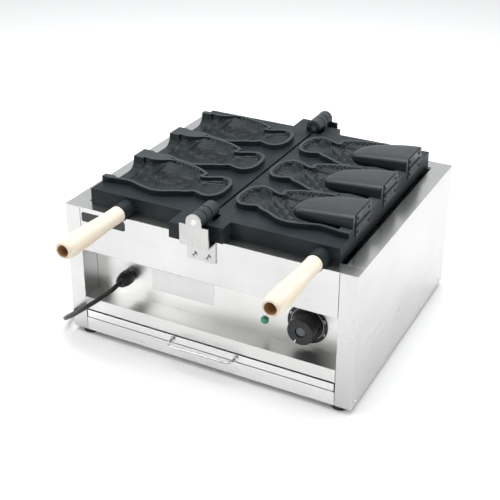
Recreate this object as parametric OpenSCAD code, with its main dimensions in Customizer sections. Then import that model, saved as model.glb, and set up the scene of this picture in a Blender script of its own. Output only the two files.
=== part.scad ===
// Countertop fish-cake griddle: two cast plates that open like a book on a
// stainless cabinet, three hinged mouth formers, a crumb tray and a dial.

/* [Moulds] */
// Length of one fish mould from tail to mouth
mould_l = 188; // [170:1:210]
// Width of one fish mould at its widest
mould_w = 117; // [105:1:118]
// Distance from one mould to the next
mould_pitch = 121; // [119:1:135]
// Distance from the seam between the plates to the tail
tail_x = 18; // [14:1:24]
// Depth of the mould below the rim
mould_depth = 27.5; // [24:0.5:30]
// Width of the open mouth
mouth_w = 86; // [84:1:90]
// Depth of the open mouth below the rim
mouth_depth = 23.5; // [22.5:0.5:25]
// Step from the mouth's edge out to the wider mould behind it
mouth_step = 4.5; // [3:0.5:5.5]
// Corner radius of the mouth
mouth_r = 18; // [14:1:22]

/* [Plates] */
// Thickness of the plate's slab
slab_h = 27; // [26:0.5:36]
// Height of the rims above the slab
rim_h = 10; // [8:0.5:14]
// Width of the rim round a mould
rim_w = 5.5; // [4:0.5:7]
// Thickness of the end wall at the mouths
end_wall = 20; // [16:1:26]
// Length of plate beyond the middle of the outer moulds
plate_edge = 87; // [80:1:100]
// Half of the seam between the two plates
half_seam = 2; // [1.5:0.5:4]
// Gap between the plate's end and the cabinet's flange
side_gap = 9; // [5:1:14]
// How far the slab lies on the front and rear flanges
plate_seat = 6; // [4:1:10]

/* [Hinge] */
// Diameter of the hinge pins
pin_d = 12; // [8:0.5:14]
// Outer diameter of the knuckles
knuckle_d = 27; // [24:1:30]
// Step that leaves a groove between two knuckles
knuckle_edge = 1; // [0.6:0.1:1.4]
// Reach of the outer knuckle in front of the cabinet
knuckle_out = 22; // [18:1:26]
// Length of the middle knuckle
knuckle_mid = 16; // [12:1:18]
// Reach of the inner knuckle past the plate's edge
knuckle_in = 14; // [10:1:20]
// Width of the hinge bracket
bracket_w = 52; // [44:1:60]
// Thickness of the hinge bracket
bracket_t = 2.5; // [2:0.5:4]
// Height of the bracket's foot on the cabinet
bracket_foot = 38; // [30:1:46]

/* [Formers] */
// Length of a mouth former
former_l = 104; // [90:1:120]
// Width of a mouth former at the mouth
former_w = 79; // [70:1:80]
// Height of a mouth former above the rim at the mouth
former_h = 22; // [16:0.5:22]
// Depth of a mouth former below the rim
former_low = 13; // [8:0.5:16]
// Width of the small hinge on each former
leaf_w = 58; // [44:1:64]
// Height of a hinge leaf above or below its pin
leaf_h = 19; // [16:0.5:19]
// Thickness of a hinge leaf
leaf_t = 1.5; // [1:0.1:2]
// Diameter of the small hinge's pin
leaf_pin_d = 2.5; // [2:0.1:3]
// Diameter of the small hinge's knuckle
leaf_knuckle_d = 4.8; // [4.4:0.1:5.4]

/* [Handles] */
// Diameter of the wooden grips
grip_d = 28; // [24:0.5:32]
// Length of the wooden grips
grip_l = 148; // [110:1:180]
// Diameter of the wooden grips at their belly
grip_belly = 34; // [32:0.5:36]
// Diameter of the open bore at the grip's end
grip_bore = 20; // [14:0.5:21]
// Upward tilt of the handles
grip_tilt = 1; // [0:0.5:4]
// Diameter of the rod inside the grip
rod_d = 8; // [6:0.5:10]
// Place of the left handle from the middle
left_handle_x = 154; // [120:1:160]
// Place of the right handle from the middle
right_handle_x = 196; // [190:1:204]
// Diameter of the sockets on the plates
socket_d = 30; // [28:0.5:34]

/* [Cabinet] */
// Height of the cabinet without its feet
cab_h = 240; // [236:1:280]
// Thickness of the sheet steel
sheet = 1.5; // [1:0.1:2]
// Width of the front pillars
pillar_w = 29; // [24:1:34]
// Dark seam between the front panels and the pillars
seam = 0.9; // [0.4:0.1:0.9]
// Width of the side panels' top flanges
flange_w = 30; // [28:1:36]
// Width of the front and rear top flanges
flange_f = 28; // [26:1:34]
// Height of the front fascia
fascia_h = 80; // [74:1:84]
// Depth of the recess under the fascia
recess = 40; // [34:1:50]
// Height of the shelf
shelf_z = 66; // [62:1:72]
// Height of the shelf's front lip
lip_h = 23; // [19:1:24]
// Height of the base pan's front strip
base_h = 24.7; // [22:0.1:26.2]
// Height of the crumb tray's front strip
tray_front_h = 13.5; // [11:0.5:14]
// Depth of the wiring space behind the control panel
wiring_d = 70; // [64:1:90]
// Diameter of the feet
foot_d = 32; // [24:1:34]
// Height of the feet
foot_h = 10; // [8:1:20]
// Diameter of the foot screws
foot_screw_d = 5; // [4:0.5:6]
// Number of heat slots in the rear panel
slot_n = 9; // [5:1:11]

/* [Crumb tray] */
// Width of the crumb tray's pan
tray_w = 456; // [430:1:460]
// Height of the tray's side walls
tray_wall = 13; // [9:0.5:14]
// Thickness of the tray's sheet
tray_t = 1.2; // [0.8:0.1:1.6]
// Width of the wire handle
pull_w = 120; // [90:1:150]
// Reach of the wire handle
pull_out = 21; // [16:1:30]
// Diameter of the handle's wire
pull_d = 5; // [4:0.5:6]

/* [Controls] */
// Diameter of the knob
knob_d = 49; // [40:0.5:52]
// Length of the knob
knob_l = 28; // [22:1:32]
// Place of the knob from the middle
knob_x = 169; // [150:1:185]
// Height of the knob's middle
knob_z = 109; // [106:1:116]
// Outer diameter of the dial ring
dial_d = 70; // [60:1:74]
// Diameter of the thermostat's shaft
shaft_d = 6; // [5:0.5:8]
// Diameter of the pilot lamp's lens
lamp_d = 14; // [10:0.5:18]
// Place of the pilot lamp from the middle
lamp_x = 93; // [80:1:110]
// Height of the pilot lamp
lamp_z = 94; // [86:1:110]
// Place of the cord gland from the middle
gland_x = -167; // [-172:1:-160]
// Height of the cord gland
gland_z = 108; // [106:1:112]
// Diameter of the heating tubes
element_d = 8; // [6.5:0.5:10]
// Distance between the runs of a heating tube
element_pitch = 50; // [44:1:52]

/* [Hidden] */
$fn = 48;

// Clearances
touch = 0.3;
fit = 0.05;
tray_side = 8;
seat_gap = 0.3;
close_gap = 0.2;

// Plan of the plates, the cabinet and the openings
moulds = 3;
socket_out = 5;
grip_drop = 30;
rod_end = 25;
wall_in = tail_x + mould_l;
plate_out = wall_in + end_wall;
plate_d = (moulds - 1) * mould_pitch + 2 * plate_edge;
cab_w = 2 * max(plate_out + side_gap + flange_w, tray_w / 2 + tray_side + pillar_w);
plate_y0 = flange_f - plate_seat;
plate_y1 = plate_y0 + plate_d;
cab_d = plate_y1 + plate_y0;
slab_z = cab_h + seat_gap;
axis_z = slab_z + slab_h + rim_h + close_gap;
rim_z = axis_z - close_gap;
first_y = plate_y0 + plate_edge;
wall_over = mould_w / 2 - 4.5;
inner_x = cab_w / 2 - pillar_w;
open_x = cab_w / 2 - flange_w;

// Reach of the whole object in front and behind, which sets the origin
front_reach = (plate_y0 + socket_out + grip_l) * cos(grip_tilt) + (grip_d / 2 - 2) * sin(grip_tilt) - plate_y0;
rear_reach = knuckle_out + bracket_t + touch;
mid_y = (cab_d + rear_reach - front_reach) / 2;

// Heights in the front
fascia_z = cab_h - fascia_h;
lip_z = shelf_z - lip_h;
tray_z = base_h + 1.6;
ledge_z = fascia_z + 2 * sheet;
wire_y = recess + wiring_d;

// Outline of a fish mould, in hundredths of its length and width, from the mouth
// along the belly to the tail and back along the back fin
fish = [
  [91.5, -38.8], [83, -37.6], [74.5, -41.4], [65.5, -46.2], [56.5, -48.7], [48, -46.6],
  [41, -40.4], [35, -35.2], [29.5, -32], [26, -28.4], [23, -24.6], [18, -25.6],
  [12.8, -29], [7, -29], [2.8, -23.2], [0.3, -12], [0, 0], [0.8, 12], [3.2, 22.2],
  [7, 28.2], [12.2, 29.5], [18.6, 25.7], [25, 20.2], [30.6, 18.4], [33.2, 23.4],
  [31.4, 31], [37.2, 36.6], [44.7, 42.6], [53.7, 46.2], [62.8, 49.4], [70.2, 51],
  [77, 47.8], [84, 41.4], [91.5, 39]
];

// Outline of a former, in hundredths of its length and width, from its end face
former_plan = [
  [0, -50], [25, -49.4], [58, -48.7], [88, -48], [95, -46.5], [99.5, -41], [101, -28],
  [99, -10], [93, 8], [82, 22], [67, 33], [48, 42], [27, 48], [0, 50]
];

// Steps of a mould's wall: depth, length and width kept, in hundredths
mould_steps = [
  [-8, 100, 100], [0, 100, 100], [33, 98.5, 98], [51, 95, 95], [69, 80, 90],
  [88, 70, 78], [100, 60, 60]
];

// Steps of a former above the rim: height at the nose and at the end, length and width
former_steps = [
  [1.5, 1.5, 100, 100], [36, 59, 100, 100], [48, 82, 97, 93], [55, 95.5, 91, 80],
  [57, 100, 84, 62]
];

// Steps of a former below the rim: depth, length and width
former_low_steps = [
  [100, 88, 60], [72, 95, 80], [25, 99, 95], [-3, 100, 98.5]
];

// Points along a smooth curve through the points p, with n steps between two
function curve_point(a, b, c, d, t) =
  0.5 * (2 * b + (c - a) * t + (2 * a - 5 * b + 4 * c - d) * t * t
  + (3 * b - a - 3 * c + d) * t * t * t);
function curve(p, n) =
  let (m = len(p) - 1)
  concat(
    [for (i = [0:m - 1], k = [0:n - 1])
      curve_point(p[max(i - 1, 0)], p[i], p[i + 1], p[min(i + 2, m)], k / n)],
    [p[m]]
  );

function mould_outline() =
  let (body = [for (q = fish) [tail_x + mould_l * q[0] / 100, mould_w * q[1] / 100]])
  let (end_w = mouth_w / 2 + mouth_step)
  curve(concat([[wall_in, -end_w]], body, [[wall_in, end_w]]), 2);

function former_outline() =
  curve([for (q = former_plan) [plate_out - former_l * q[0] / 100, former_w * q[1] / 100]], 2);

// A closed solid through rings of points that all have the same count
module loft(rings) {
  n = len(rings[0]);
  last = len(rings) - 1;
  points = [for (r = rings, q = r) q];
  sides = [for (i = [0:last - 1], k = [0:n - 1])
    let (a = i * n + k, b = i * n + (k + 1) % n)
    each [[a, b, b + n], [a, b + n, a + n]]];
  floor_face = [for (k = [0:n - 1]) n - 1 - k];
  top_face = [for (k = [0:n - 1]) last * n + k];
  polyhedron(points, concat([floor_face], sides, [top_face]));
}

function shrink(p, far, long, wide) =
  [for (q = p) [far - (far - q[0]) * long / 100, q[1] * wide / 100]];

// One mould's hollow, mouth to the right, rim at axis height
module mould_hollow() {
  outline = mould_outline();
  steps = [for (i = [len(mould_steps) - 1:-1:0]) mould_steps[i]];
  loft([for (s = steps)
    [for (q = shrink(outline, wall_in, s[1], s[2])) [q[0], q[1], rim_z - mould_depth * s[0] / 100]]]);
}

// The open mouth through the end wall
module mouth_cut() {
  flat = mouth_w / 2 - mouth_r;
  translate([wall_in - 1, 0, rim_z])
    rotate([90, 0, 90])
      linear_extrude(end_wall + 2)
        union() {
          translate([-mouth_w / 2, mouth_r - mouth_depth])
            square([mouth_w, mouth_depth - mouth_r + 1]);
          translate([-flat, -mouth_depth])
            square([2 * flat, mouth_depth]);
          for (side = [-1, 1])
            translate([side * flat, mouth_r - mouth_depth])
              circle(mouth_r);
        }
}

// Rim round one mould, standing on the slab
module mould_rim() {
  translate([0, 0, rim_z - rim_h - 1])
    linear_extrude(rim_h + 1)
      intersection() {
        offset(r = rim_w, $fn = 24) polygon(mould_outline());
        translate([half_seam, -mould_w])
          square([wall_in + end_wall / 2, 2 * mould_w]);
      }
}

function mould_y(i) = first_y + i * mould_pitch;

// Round boss of a handle, flat underneath where it passes over the cabinet
module socket_boss(x) {
  difference() {
    along_handle(x)
      translate([0, 0, -8])
        cylinder(d = socket_d, h = plate_y0 + 8 + socket_out, $fn = 64);
    translate([x - socket_d, -1, slab_z - 2 * socket_d])
      cube([2 * socket_d, plate_y0 + 20, 2 * socket_d]);
  }
}

// Where a handle's parts lie: along +Z from the plate's front edge
module along_handle(x) {
  translate([x, plate_y0, axis_z - grip_drop])
    rotate([90 - grip_tilt, 0, 0])
      children();
}

// Slab with rims and end wall of the right-hand plate, without hinge and holes
module plate_body() {
  wall_y0 = first_y - wall_over;
  wall_len = (moulds - 1) * mould_pitch + 2 * wall_over;
  translate([half_seam, plate_y0, slab_z])
    cube([plate_out - half_seam, plate_d, slab_h]);
  translate([wall_in, wall_y0, slab_z + slab_h - 1])
    cube([end_wall, wall_len, rim_h + 1]);
  for (i = [0:moulds - 1])
    translate([0, mould_y(i), 0])
      mould_rim();
  for (i = [0:moulds - 2])
    translate([wall_in - web_l, mould_y(i) + mould_pitch / 2 - web_w / 2, slab_z + slab_h - 1])
      cube([web_l + end_wall / 2, web_w, rim_h + 1]);
}

// Raised web between two moulds behind the end wall
web_l = 0.24 * mould_l;
web_w = mould_pitch - mouth_w;

// One knuckle along Y from y0 to y1 with a web down to the slab on its own side
module knuckle(y0, y1) {
  translate([0, y1, axis_z])
    rotate([90, 0, 0]) {
      cylinder(d = knuckle_d - 4 * knuckle_edge, h = y1 - y0, $fn = 72);
      translate([0, 0, knuckle_edge])
        cylinder(d = knuckle_d, h = y1 - y0 - 2 * knuckle_edge, $fn = 72);
    }
  translate([0, y0, slab_z])
    cube([knuckle_d / 2, y1 - y0, axis_z - slab_z]);
}

module pin_bore() {
  translate([0, -cab_d, axis_z])
    rotate([-90, 0, 0])
      cylinder(d = pin_d + 2 * fit, h = 3 * cab_d, $fn = 72);
}

// Knuckle stations measured from the cabinet's front or rear face inwards
out_y0 = -knuckle_out;
out_y1 = -4 - touch;
mid_y0 = -4;
mid_y1 = knuckle_mid - 4;
in_y0 = mid_y1 + touch;
in_y1 = plate_y0 + knuckle_in;
lug_x = 47;
mid_lug_x = 40;
pocket_x = knuckle_d / 2 + 1.7;

// Both ends of the object are alike: draws its children at the front and the rear
module both_ends() {
  children();
  translate([0, cab_d, 0])
    mirror([0, 1, 0])
      children();
}

// Hinge side of the plate that carries the outer and inner knuckles
module outer_lugs() {
  knuckle(out_y0, out_y1);
  knuckle(in_y0, in_y1);
  translate([0, out_y0, slab_z])
    cube([lug_x, out_y1 - out_y0, slab_h]);
  translate([pocket_x, out_y0, slab_z])
    cube([lug_x - pocket_x, plate_y0 - out_y0 + 1, slab_h]);
}

// Hinge side of the plate that carries the middle knuckle
module middle_lugs() {
  knuckle(mid_y0, mid_y1);
  translate([0, mid_y0, slab_z])
    cube([mid_lug_x, mid_y1 - mid_y0, slab_h]);
  translate([pocket_x, mid_y0, slab_z])
    cube([mid_lug_x - pocket_x, plate_y0 - mid_y0 + 1, slab_h]);
}

// Room for the other plate's inner knuckle
module knuckle_pocket() {
  translate([-1, in_y0 - touch, slab_z - 1])
    cube([pocket_x + 1, in_y1 - in_y0 + 2 * touch + 1, slab_h + rim_h]);
}

module plate_holes(handle_x) {
  for (i = [0:moulds - 1])
    translate([0, mould_y(i), 0])
      mould_hollow();
  pin_bore();
  along_handle(handle_x)
    translate([0, 0, -20])
      cylinder(d = rod_d + 2 * fit, h = 60);
}

module left_plate() {
  color("#3f4447")
    mirror([1, 0, 0])
      difference() {
        union() {
          plate_body();
          both_ends() outer_lugs();
          socket_boss(left_handle_x);
        }
        plate_holes(left_handle_x);
        for (i = [0:moulds - 1])
          translate([0, mould_y(i), 0])
            mouth_cut();
      }
}

module right_plate() {
  color("#3f4447")
    difference() {
      union() {
        difference() {
          plate_body();
          both_ends() knuckle_pocket();
        }
        both_ends() middle_lugs();
        socket_boss(right_handle_x);
      }
      plate_holes(right_handle_x);
      for (i = [0:moulds - 1], s = [-1, 1])
        translate([plate_out - screw_l, mould_y(i) + s * leaf_screw_y, leaf_pin_z - leaf_screw_z])
          rotate([0, 90, 0])
            cylinder(d = screw_d + 2 * fit, h = screw_l + 1);
    }
}

// Small hinge of a former: the pin lies outside the end wall, just above the rim
leaf_pin_z = axis_z + 1;
leaf_pin_x = plate_out + leaf_knuckle_d / 2 + touch;
leaf_screw_y = leaf_w / 2 - 6;
leaf_screw_z = 11.5;
screw_d = 3;
screw_l = 10;
knuckles = 5;
leaf_step = leaf_w / knuckles;
leaf_room = leaf_knuckle_d / 2 + 0.4;

// Leaf of the small hinge, up = 1 for the former's leaf and -1 for the fixed one
module hinge_leaf(up) {
  first = up > 0 ? 1 : 0;
  difference() {
    union() {
      translate([plate_out, -leaf_w / 2, up > 0 ? leaf_pin_z + leaf_room : leaf_pin_z - leaf_h])
        cube([leaf_t, leaf_w, leaf_h - leaf_room]);
      for (k = [first:2:knuckles - 1])
        translate([0, -leaf_w / 2 + k * leaf_step + 0.15, 0]) {
          translate([leaf_pin_x, leaf_step - 0.3, leaf_pin_z])
            rotate([90, 0, 0])
              cylinder(d = leaf_knuckle_d, h = leaf_step - 0.3);
          translate([plate_out, 0, up > 0 ? leaf_pin_z + 1.2 : leaf_pin_z - leaf_room - 0.5])
            cube([leaf_t, leaf_step - 0.3, leaf_room + 0.5 - 1.2]);
        }
    }
    translate([leaf_pin_x, leaf_w, leaf_pin_z])
      rotate([90, 0, 0])
        cylinder(d = leaf_pin_d + 2 * fit, h = 2 * leaf_w);
    for (s = [-1, 1])
      translate([plate_out - 1, s * leaf_screw_y, leaf_pin_z + up * leaf_screw_z])
        rotate([0, 90, 0])
          cylinder(d = screw_d + 2 * fit, h = 4);
  }
}

// Pan-head screw along -X with the underside of its head at the origin
module leaf_screw() {
  rotate([0, 90, 0]) {
    translate([0, 0, 0.5 - screw_l])
      cylinder(d = screw_d, h = screw_l - 0.5 + 0.1);
    cylinder(d = 5.5, h = 1);
    translate([0, 0, 1])
      cylinder(d1 = 5.5, d2 = 3.6, h = 0.7);
  }
}

module former(i) {
  outline = former_outline();
  nose = plate_out - former_l;
  color("#565b5e")
    translate([0, mould_y(i), 0])
      difference() {
        union() {
          loft([for (s = former_steps)
            [for (q = shrink(outline, plate_out, s[2], s[3]))
              let (t = (q[0] - nose) / former_l)
              [q[0], q[1], axis_z + former_h * (s[0] + (s[1] - s[0]) * t) / 100]]]);
          intersection() {
            loft([for (s = former_low_steps)
              [for (q = shrink(outline, plate_out, s[1], s[2]))
                [q[0], q[1], axis_z - former_low * s[0] / 100]]]);
            translate([0, -former_w, axis_z - 2 * former_low])
              cube([wall_in - 2 * touch, 2 * former_w, 3 * former_low]);
          }
        }
        for (s = [-1, 1])
          translate([plate_out - screw_l, s * leaf_screw_y, leaf_pin_z + leaf_screw_z])
            rotate([0, 90, 0])
              cylinder(d = screw_d + 2 * fit, h = screw_l + 1);
      }
}

module former_leaf(i) {
  color("#565b5e")
    translate([0, mould_y(i), 0]) {
      hinge_leaf(1);
      for (s = [-1, 1])
        translate([plate_out + leaf_t, s * leaf_screw_y, leaf_pin_z + leaf_screw_z])
          leaf_screw();
    }
}

module fixed_leaves() {
  color("#565b5e")
    for (i = [0:moulds - 1])
      translate([0, mould_y(i), 0])
        hinge_leaf(-1);
}

module fixed_leaf_screws() {
  color("#3a3d40")
    for (i = [0:moulds - 1], s = [-1, 1])
      translate([plate_out + leaf_t, mould_y(i) + s * leaf_screw_y, leaf_pin_z - leaf_screw_z])
        leaf_screw();
}

module leaf_pins() {
  color("#8d9194")
    for (i = [0:moulds - 1])
      translate([leaf_pin_x, mould_y(i) + leaf_w / 2 + 0.5, leaf_pin_z])
        rotate([90, 0, 0])
          cylinder(d = leaf_pin_d, h = leaf_w + 1);
}

// Handles
module rod(x) {
  color("#b9bcbe")
    along_handle(x)
      translate([0, 0, -19])
        cylinder(d = rod_d, h = 19 + plate_y0 + socket_out + grip_l - rod_end);
}

module grip(x) {
  r = grip_d / 2;
  b = grip_belly / 2;
  start = plate_y0 + socket_out;
  color("#efdcb8")
    along_handle(x)
      translate([0, 0, start])
        rotate_extrude($fn = 64)
          polygon([
            [rod_d / 2 + fit, 0], [r - 1, 0], [r, 1], [0.985 * r, 0.12 * grip_l],
            [r, 0.27 * grip_l], [0.92 * b, 0.5 * grip_l], [0.99 * b, 0.7 * grip_l],
            [b, 0.8 * grip_l], [0.97 * b, 0.9 * grip_l], [0.89 * b, 0.965 * grip_l],
            [0.73 * b, grip_l], [grip_bore / 2, grip_l],
            [grip_bore / 2, grip_l - rod_end], [rod_d / 2 + fit, grip_l - rod_end]
          ]);
}

// Hinge brackets and pins
module bracket() {
  top_r = knuckle_d / 2 + 0.5;
  leg_z = slab_z - 2 - bracket_t;
  shoulder = slab_z + slab_h + 4;
  color("#d5d7d8")
    difference() {
      union() {
        translate([0, -knuckle_out - touch, 0])
          rotate([90, 0, 0])
            linear_extrude(bracket_t)
              union() {
                translate([-bracket_w / 2, leg_z])
                  square([bracket_w, shoulder - leg_z]);
                translate([-top_r, leg_z])
                  square([2 * top_r, axis_z - leg_z]);
                translate([0, axis_z])
                  circle(top_r);
              }
        translate([-bracket_w / 2, -knuckle_out - touch - bracket_t, leg_z])
          cube([bracket_w, knuckle_out + touch + bracket_t, bracket_t]);
        translate([-bracket_w / 2, -bracket_t, leg_z - bracket_foot + bracket_t])
          cube([bracket_w, bracket_t, bracket_foot]);
      }
      translate([0, 0, axis_z])
        rotate([90, 0, 0])
          cylinder(d = pin_d + 2 * fit, h = 4 * knuckle_out, center = true, $fn = 72);
      for (s = [-1, 1])
        translate([s * bracket_screw_x, 0, bracket_screw_z])
          rotate([90, 0, 0])
            cylinder(d = 5 + 2 * fit, h = 20, center = true);
    }
}
bracket_screw_x = 12.5;
bracket_screw_z = slab_z - 2 - bracket_foot + 9;

module bracket_screw() {
  color("#c4c6c8")
    translate([0, -bracket_t, 0])
      rotate([90, 0, 0]) {
        translate([0, 0, -bracket_t - 12])
          cylinder(d = 5, h = bracket_t + 12.1);
        cylinder(d = 9.5, h = 1.6);
        translate([0, 0, 1.6])
          cylinder(d1 = 9.5, d2 = 6, h = 1.6);
      }
}

module bracket_screws() {
  both_ends()
    for (s = [-1, 1])
      translate([s * bracket_screw_x, 0, bracket_screw_z])
        bracket_screw();
}

module hinge_pins() {
  color("#a9acae")
    both_ends()
      translate([0, in_y1 - 2, axis_z])
        rotate([90, 0, 0])
          cylinder(d = pin_d, h = in_y1 - 2 + knuckle_out + touch + bracket_t, $fn = 72);
}

// Sheet metal
module screw_bores(span, d) {
  for (s = [-1, 1])
    translate([s * bracket_screw_x, 0, bracket_screw_z])
      rotate([90, 0, 0])
        cylinder(d = d, h = span, center = true);
}

// Right-hand side panel: side, front pillar and its return, top, rear and bottom flanges
module side_panel() {
  w = cab_w / 2;
  difference() {
    union() {
      translate([w - sheet, 0, 0])
        cube([sheet, cab_d, cab_h]);
      translate([w - pillar_w, 0, 0])
        cube([pillar_w, sheet, cab_h - sheet]);
      translate([w - pillar_w, 0, return_z])
        cube([sheet, recess, cab_h - sheet - return_z]);
      translate([open_x, flange_f, cab_h - sheet])
        cube([flange_w, cab_d - 2 * flange_f, sheet]);
      translate([w - pillar_w, cab_d - 2 * sheet, 0])
        cube([pillar_w, sheet, cab_h - sheet]);
      translate([w - pillar_w, 0, 0])
        cube([pillar_w, cab_d - 2 * sheet, sheet]);
    }
    for (y = [foot_y, cab_d - foot_y])
      translate([foot_x, y, -1])
        cylinder(d = foot_screw_d + 2 * fit, h = 10);
    translate([w, 0, 0])
      side_screw_places()
        cylinder(d = 4 + 2 * fit, h = 20, center = true);
    translate([w - 2 * sheet, -1, cab_h - sheet])
      cube([4 * sheet, flange_f + 1, 2 * sheet]);
    translate([w - 2 * sheet, cab_d - flange_f, cab_h - sheet])
      cube([4 * sheet, flange_f + 1, 2 * sheet]);
  }
}
foot_x = cab_w / 2 - pillar_w / 2 - 11;
foot_y = 18;
return_z = 9;

module side_screw_places() {
  for (y = [14, 0.38 * cab_d, 0.72 * cab_d, cab_d - 22])
    translate([0, y, 9])
      rotate([0, 90, 0])
        children();
}

module right_side_panel() {
  color("#dcddde") side_panel();
}
module left_side_panel() {
  color("#dcddde") mirror([1, 0, 0]) side_panel();
}

module front_fascia() {
  color("#e4e5e6")
    difference() {
      union() {
        translate([-inner_x + seam, 0, fascia_z])
          cube([2 * inner_x - 2 * seam, sheet, fascia_h]);
        translate([-cab_w / 2, 0, cab_h - sheet])
          cube([cab_w, flange_f, sheet]);
        translate([-inner_x + touch, 0, fascia_z])
          cube([2 * inner_x - 2 * touch, 12, sheet]);
      }
      screw_bores(40, 5 + 2 * fit);
    }
}

module rear_panel() {
  pitch = 38;
  color("#dcddde")
    difference() {
      union() {
        translate([-cab_w / 2 + sheet, cab_d - sheet, 0])
          cube([cab_w - 2 * sheet, sheet, cab_h]);
        translate([-cab_w / 2, cab_d - flange_f, cab_h - sheet])
          cube([cab_w, flange_f, sheet]);
      }
      translate([0, cab_d, 0]) screw_bores(40, 5 + 2 * fit);
      for (k = [0:slot_n - 1])
        translate([(k - (slot_n - 1) / 2) * pitch, cab_d + 1, 66])
          rotate([90, 0, 0])
            linear_extrude(2 * sheet + 2)
              union() {
                translate([-3, 0]) square([6, 40]);
                circle(3);
                translate([0, 40]) circle(3);
              }
    }
}

module control_panel() {
  color("#d8d9da")
    difference() {
      union() {
        translate([-inner_x + touch, recess, shelf_z])
          cube([2 * inner_x - 2 * touch, sheet, ledge_z - shelf_z]);
        translate([-inner_x + touch, sheet, ledge_z - sheet])
          cube([2 * inner_x - 2 * touch, recess, sheet]);
      }
      for (h = [[knob_x, knob_z, 10], [lamp_x, lamp_z, lamp_body_d + 2 * fit],
        [gland_x, gland_z, gland_thread_d + 2 * fit]])
        translate([h[0], recess, h[1]])
          rotate([90, 0, 0])
            cylinder(d = h[2], h = 10, center = true);
    }
}
lamp_body_d = 12;
gland_thread_d = 16;

module shelf() {
  color("#d8d9da")
    union() {
      translate([-inner_x + touch, 0, shelf_z - sheet])
        cube([2 * inner_x - 2 * touch, wire_y + sheet, sheet]);
      translate([-inner_x + seam, 0, lip_z])
        cube([2 * inner_x - 2 * seam, sheet, lip_h]);
      translate([-inner_x + touch, 0, lip_z])
        cube([2 * inner_x - 2 * touch, 8, sheet]);
    }
}

module base_pan() {
  color("#cfd1d2")
    difference() {
      union() {
        translate([-cab_w / 2 + 2 * sheet, 2 * sheet, sheet])
          cube([cab_w - 4 * sheet, cab_d - 5 * sheet, sheet]);
        translate([-inner_x + seam, 0, 0])
          cube([2 * inner_x - 2 * seam, sheet, base_h]);
        translate([-inner_x + touch, 0, sheet])
          cube([2 * inner_x - 2 * touch, 3 * sheet, sheet]);
        for (s = [-1, 1])
          translate([s * (cab_w / 2 - sheet - touch) - (s > 0 ? sheet : 0), recess + 4, sheet])
            cube([sheet, cab_d - recess - 12, 15]);
      }
      for (s = [-1, 1], y = [foot_y, cab_d - foot_y])
        translate([s * foot_x, y, -1])
          cylinder(d = foot_screw_d + 2 * fit, h = 10);
      for (s = [-1, 1])
        translate([s * cab_w / 2, 0, 0])
          side_screw_places()
            cylinder(d = 4 + 2 * fit, h = 20, center = true);
    }
}

// Z-shaped heat shield round the wiring space
module front_liner() {
  shield_y = flange_f + 1;
  color("#c6c8ca")
    difference() {
      union() {
        translate([touch - inner_x, shield_y, ledge_z])
          cube([2 * inner_x - 2 * touch, sheet, cab_h - sheet - ledge_z]);
        translate([touch - inner_x, shield_y, ledge_z])
          cube([2 * inner_x - 2 * touch, wire_y + sheet - shield_y, sheet]);
        translate([touch - inner_x, wire_y, shelf_z])
          cube([2 * inner_x - 2 * touch, sheet, ledge_z - shelf_z + sheet]);
        translate([touch - inner_x, wire_y - 15, shelf_z])
          cube([2 * inner_x - 2 * touch, 15, sheet]);
      }
      for (s = [-1, 1], k = [0, 3])
        translate([s * element_x(k), element_y0, ledge_z])
          cylinder(d = element_d + 1, h = 20, center = true);
      translate([bulb_x, bulb_y, ledge_z])
        cylinder(d = 4, h = 20, center = true);
    }
}

// Side liner: upright, a flange to the side panel below and one under the top flange
liner_x = open_x + 1.5;
module side_liner() {
  y0 = recess + 3;
  len_y = cab_d - 2 * sheet - 12 - y0;
  union() {
    translate([liner_x, y0, lip_z])
      cube([sheet, len_y, cab_h - sheet - lip_z]);
    translate([liner_x, y0, lip_z])
      cube([cab_w / 2 - sheet - liner_x, len_y, sheet]);
    translate([liner_x, y0, cab_h - 2 * sheet])
      cube([12, len_y, sheet]);
  }
}
module right_liner() {
  color("#c6c8ca") side_liner();
}
module left_liner() {
  color("#c6c8ca") mirror([1, 0, 0]) side_liner();
}

module rear_liner() {
  y = cab_d - flange_f - 1 - sheet;
  w = 2 * inner_x - 2 * touch;
  color("#c6c8ca")
    union() {
      translate([-w / 2, y, lip_z])
        cube([w, sheet, cab_h - sheet - lip_z]);
      translate([-w / 2, y, lip_z])
        cube([w, cab_d - sheet - y, sheet]);
      translate([-w / 2, y, cab_h - 2 * sheet])
        cube([w, 14, sheet]);
    }
}

// Crumb tray on its runners
tray_y1 = cab_d - 40;
ledge_h = tray_z - touch;
module runner() {
  y0 = recess + 5;
  len_y = tray_y1 - y0 + 6;
  x = tray_w / 2 + 1;
  translate([x, y0, 2 * sheet])
    cube([sheet, len_y, ledge_h + tray_wall + 3 - 2 * sheet]);
  translate([x - 10, y0, ledge_h - sheet])
    cube([10 + sheet, len_y, sheet]);
  translate([x, y0, 2 * sheet])
    cube([14, len_y, sheet]);
}
module tray_runners() {
  color("#c6c8ca") {
    runner();
    mirror([1, 0, 0]) runner();
  }
}

module crumb_tray() {
  w = tray_w;
  z = tray_z;
  color("#e0e1e2")
    difference() {
      union() {
        translate([-inner_x + 2.5 * seam, 0, tray_z])
          cube([2 * inner_x - 5 * seam, tray_t, tray_front_h]);
        translate([-w / 2, 0, z])
          cube([w, tray_y1, tray_t]);
        translate([-w / 2, tray_y1 - tray_t, z])
          cube([w, tray_t, tray_wall]);
        for (s = [-1, 1])
          translate([s > 0 ? w / 2 - tray_t : -w / 2, 0, z])
            cube([tray_t, tray_y1, tray_wall]);
      }
      for (s = [-1, 1])
        translate([s * pull_w / 2, 0, pull_z])
          rotate([90, 0, 0])
            cylinder(d = pull_d + 2 * fit, h = 10, center = true);
    }
}
pull_z = tray_z + tray_front_h / 2;

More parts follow.
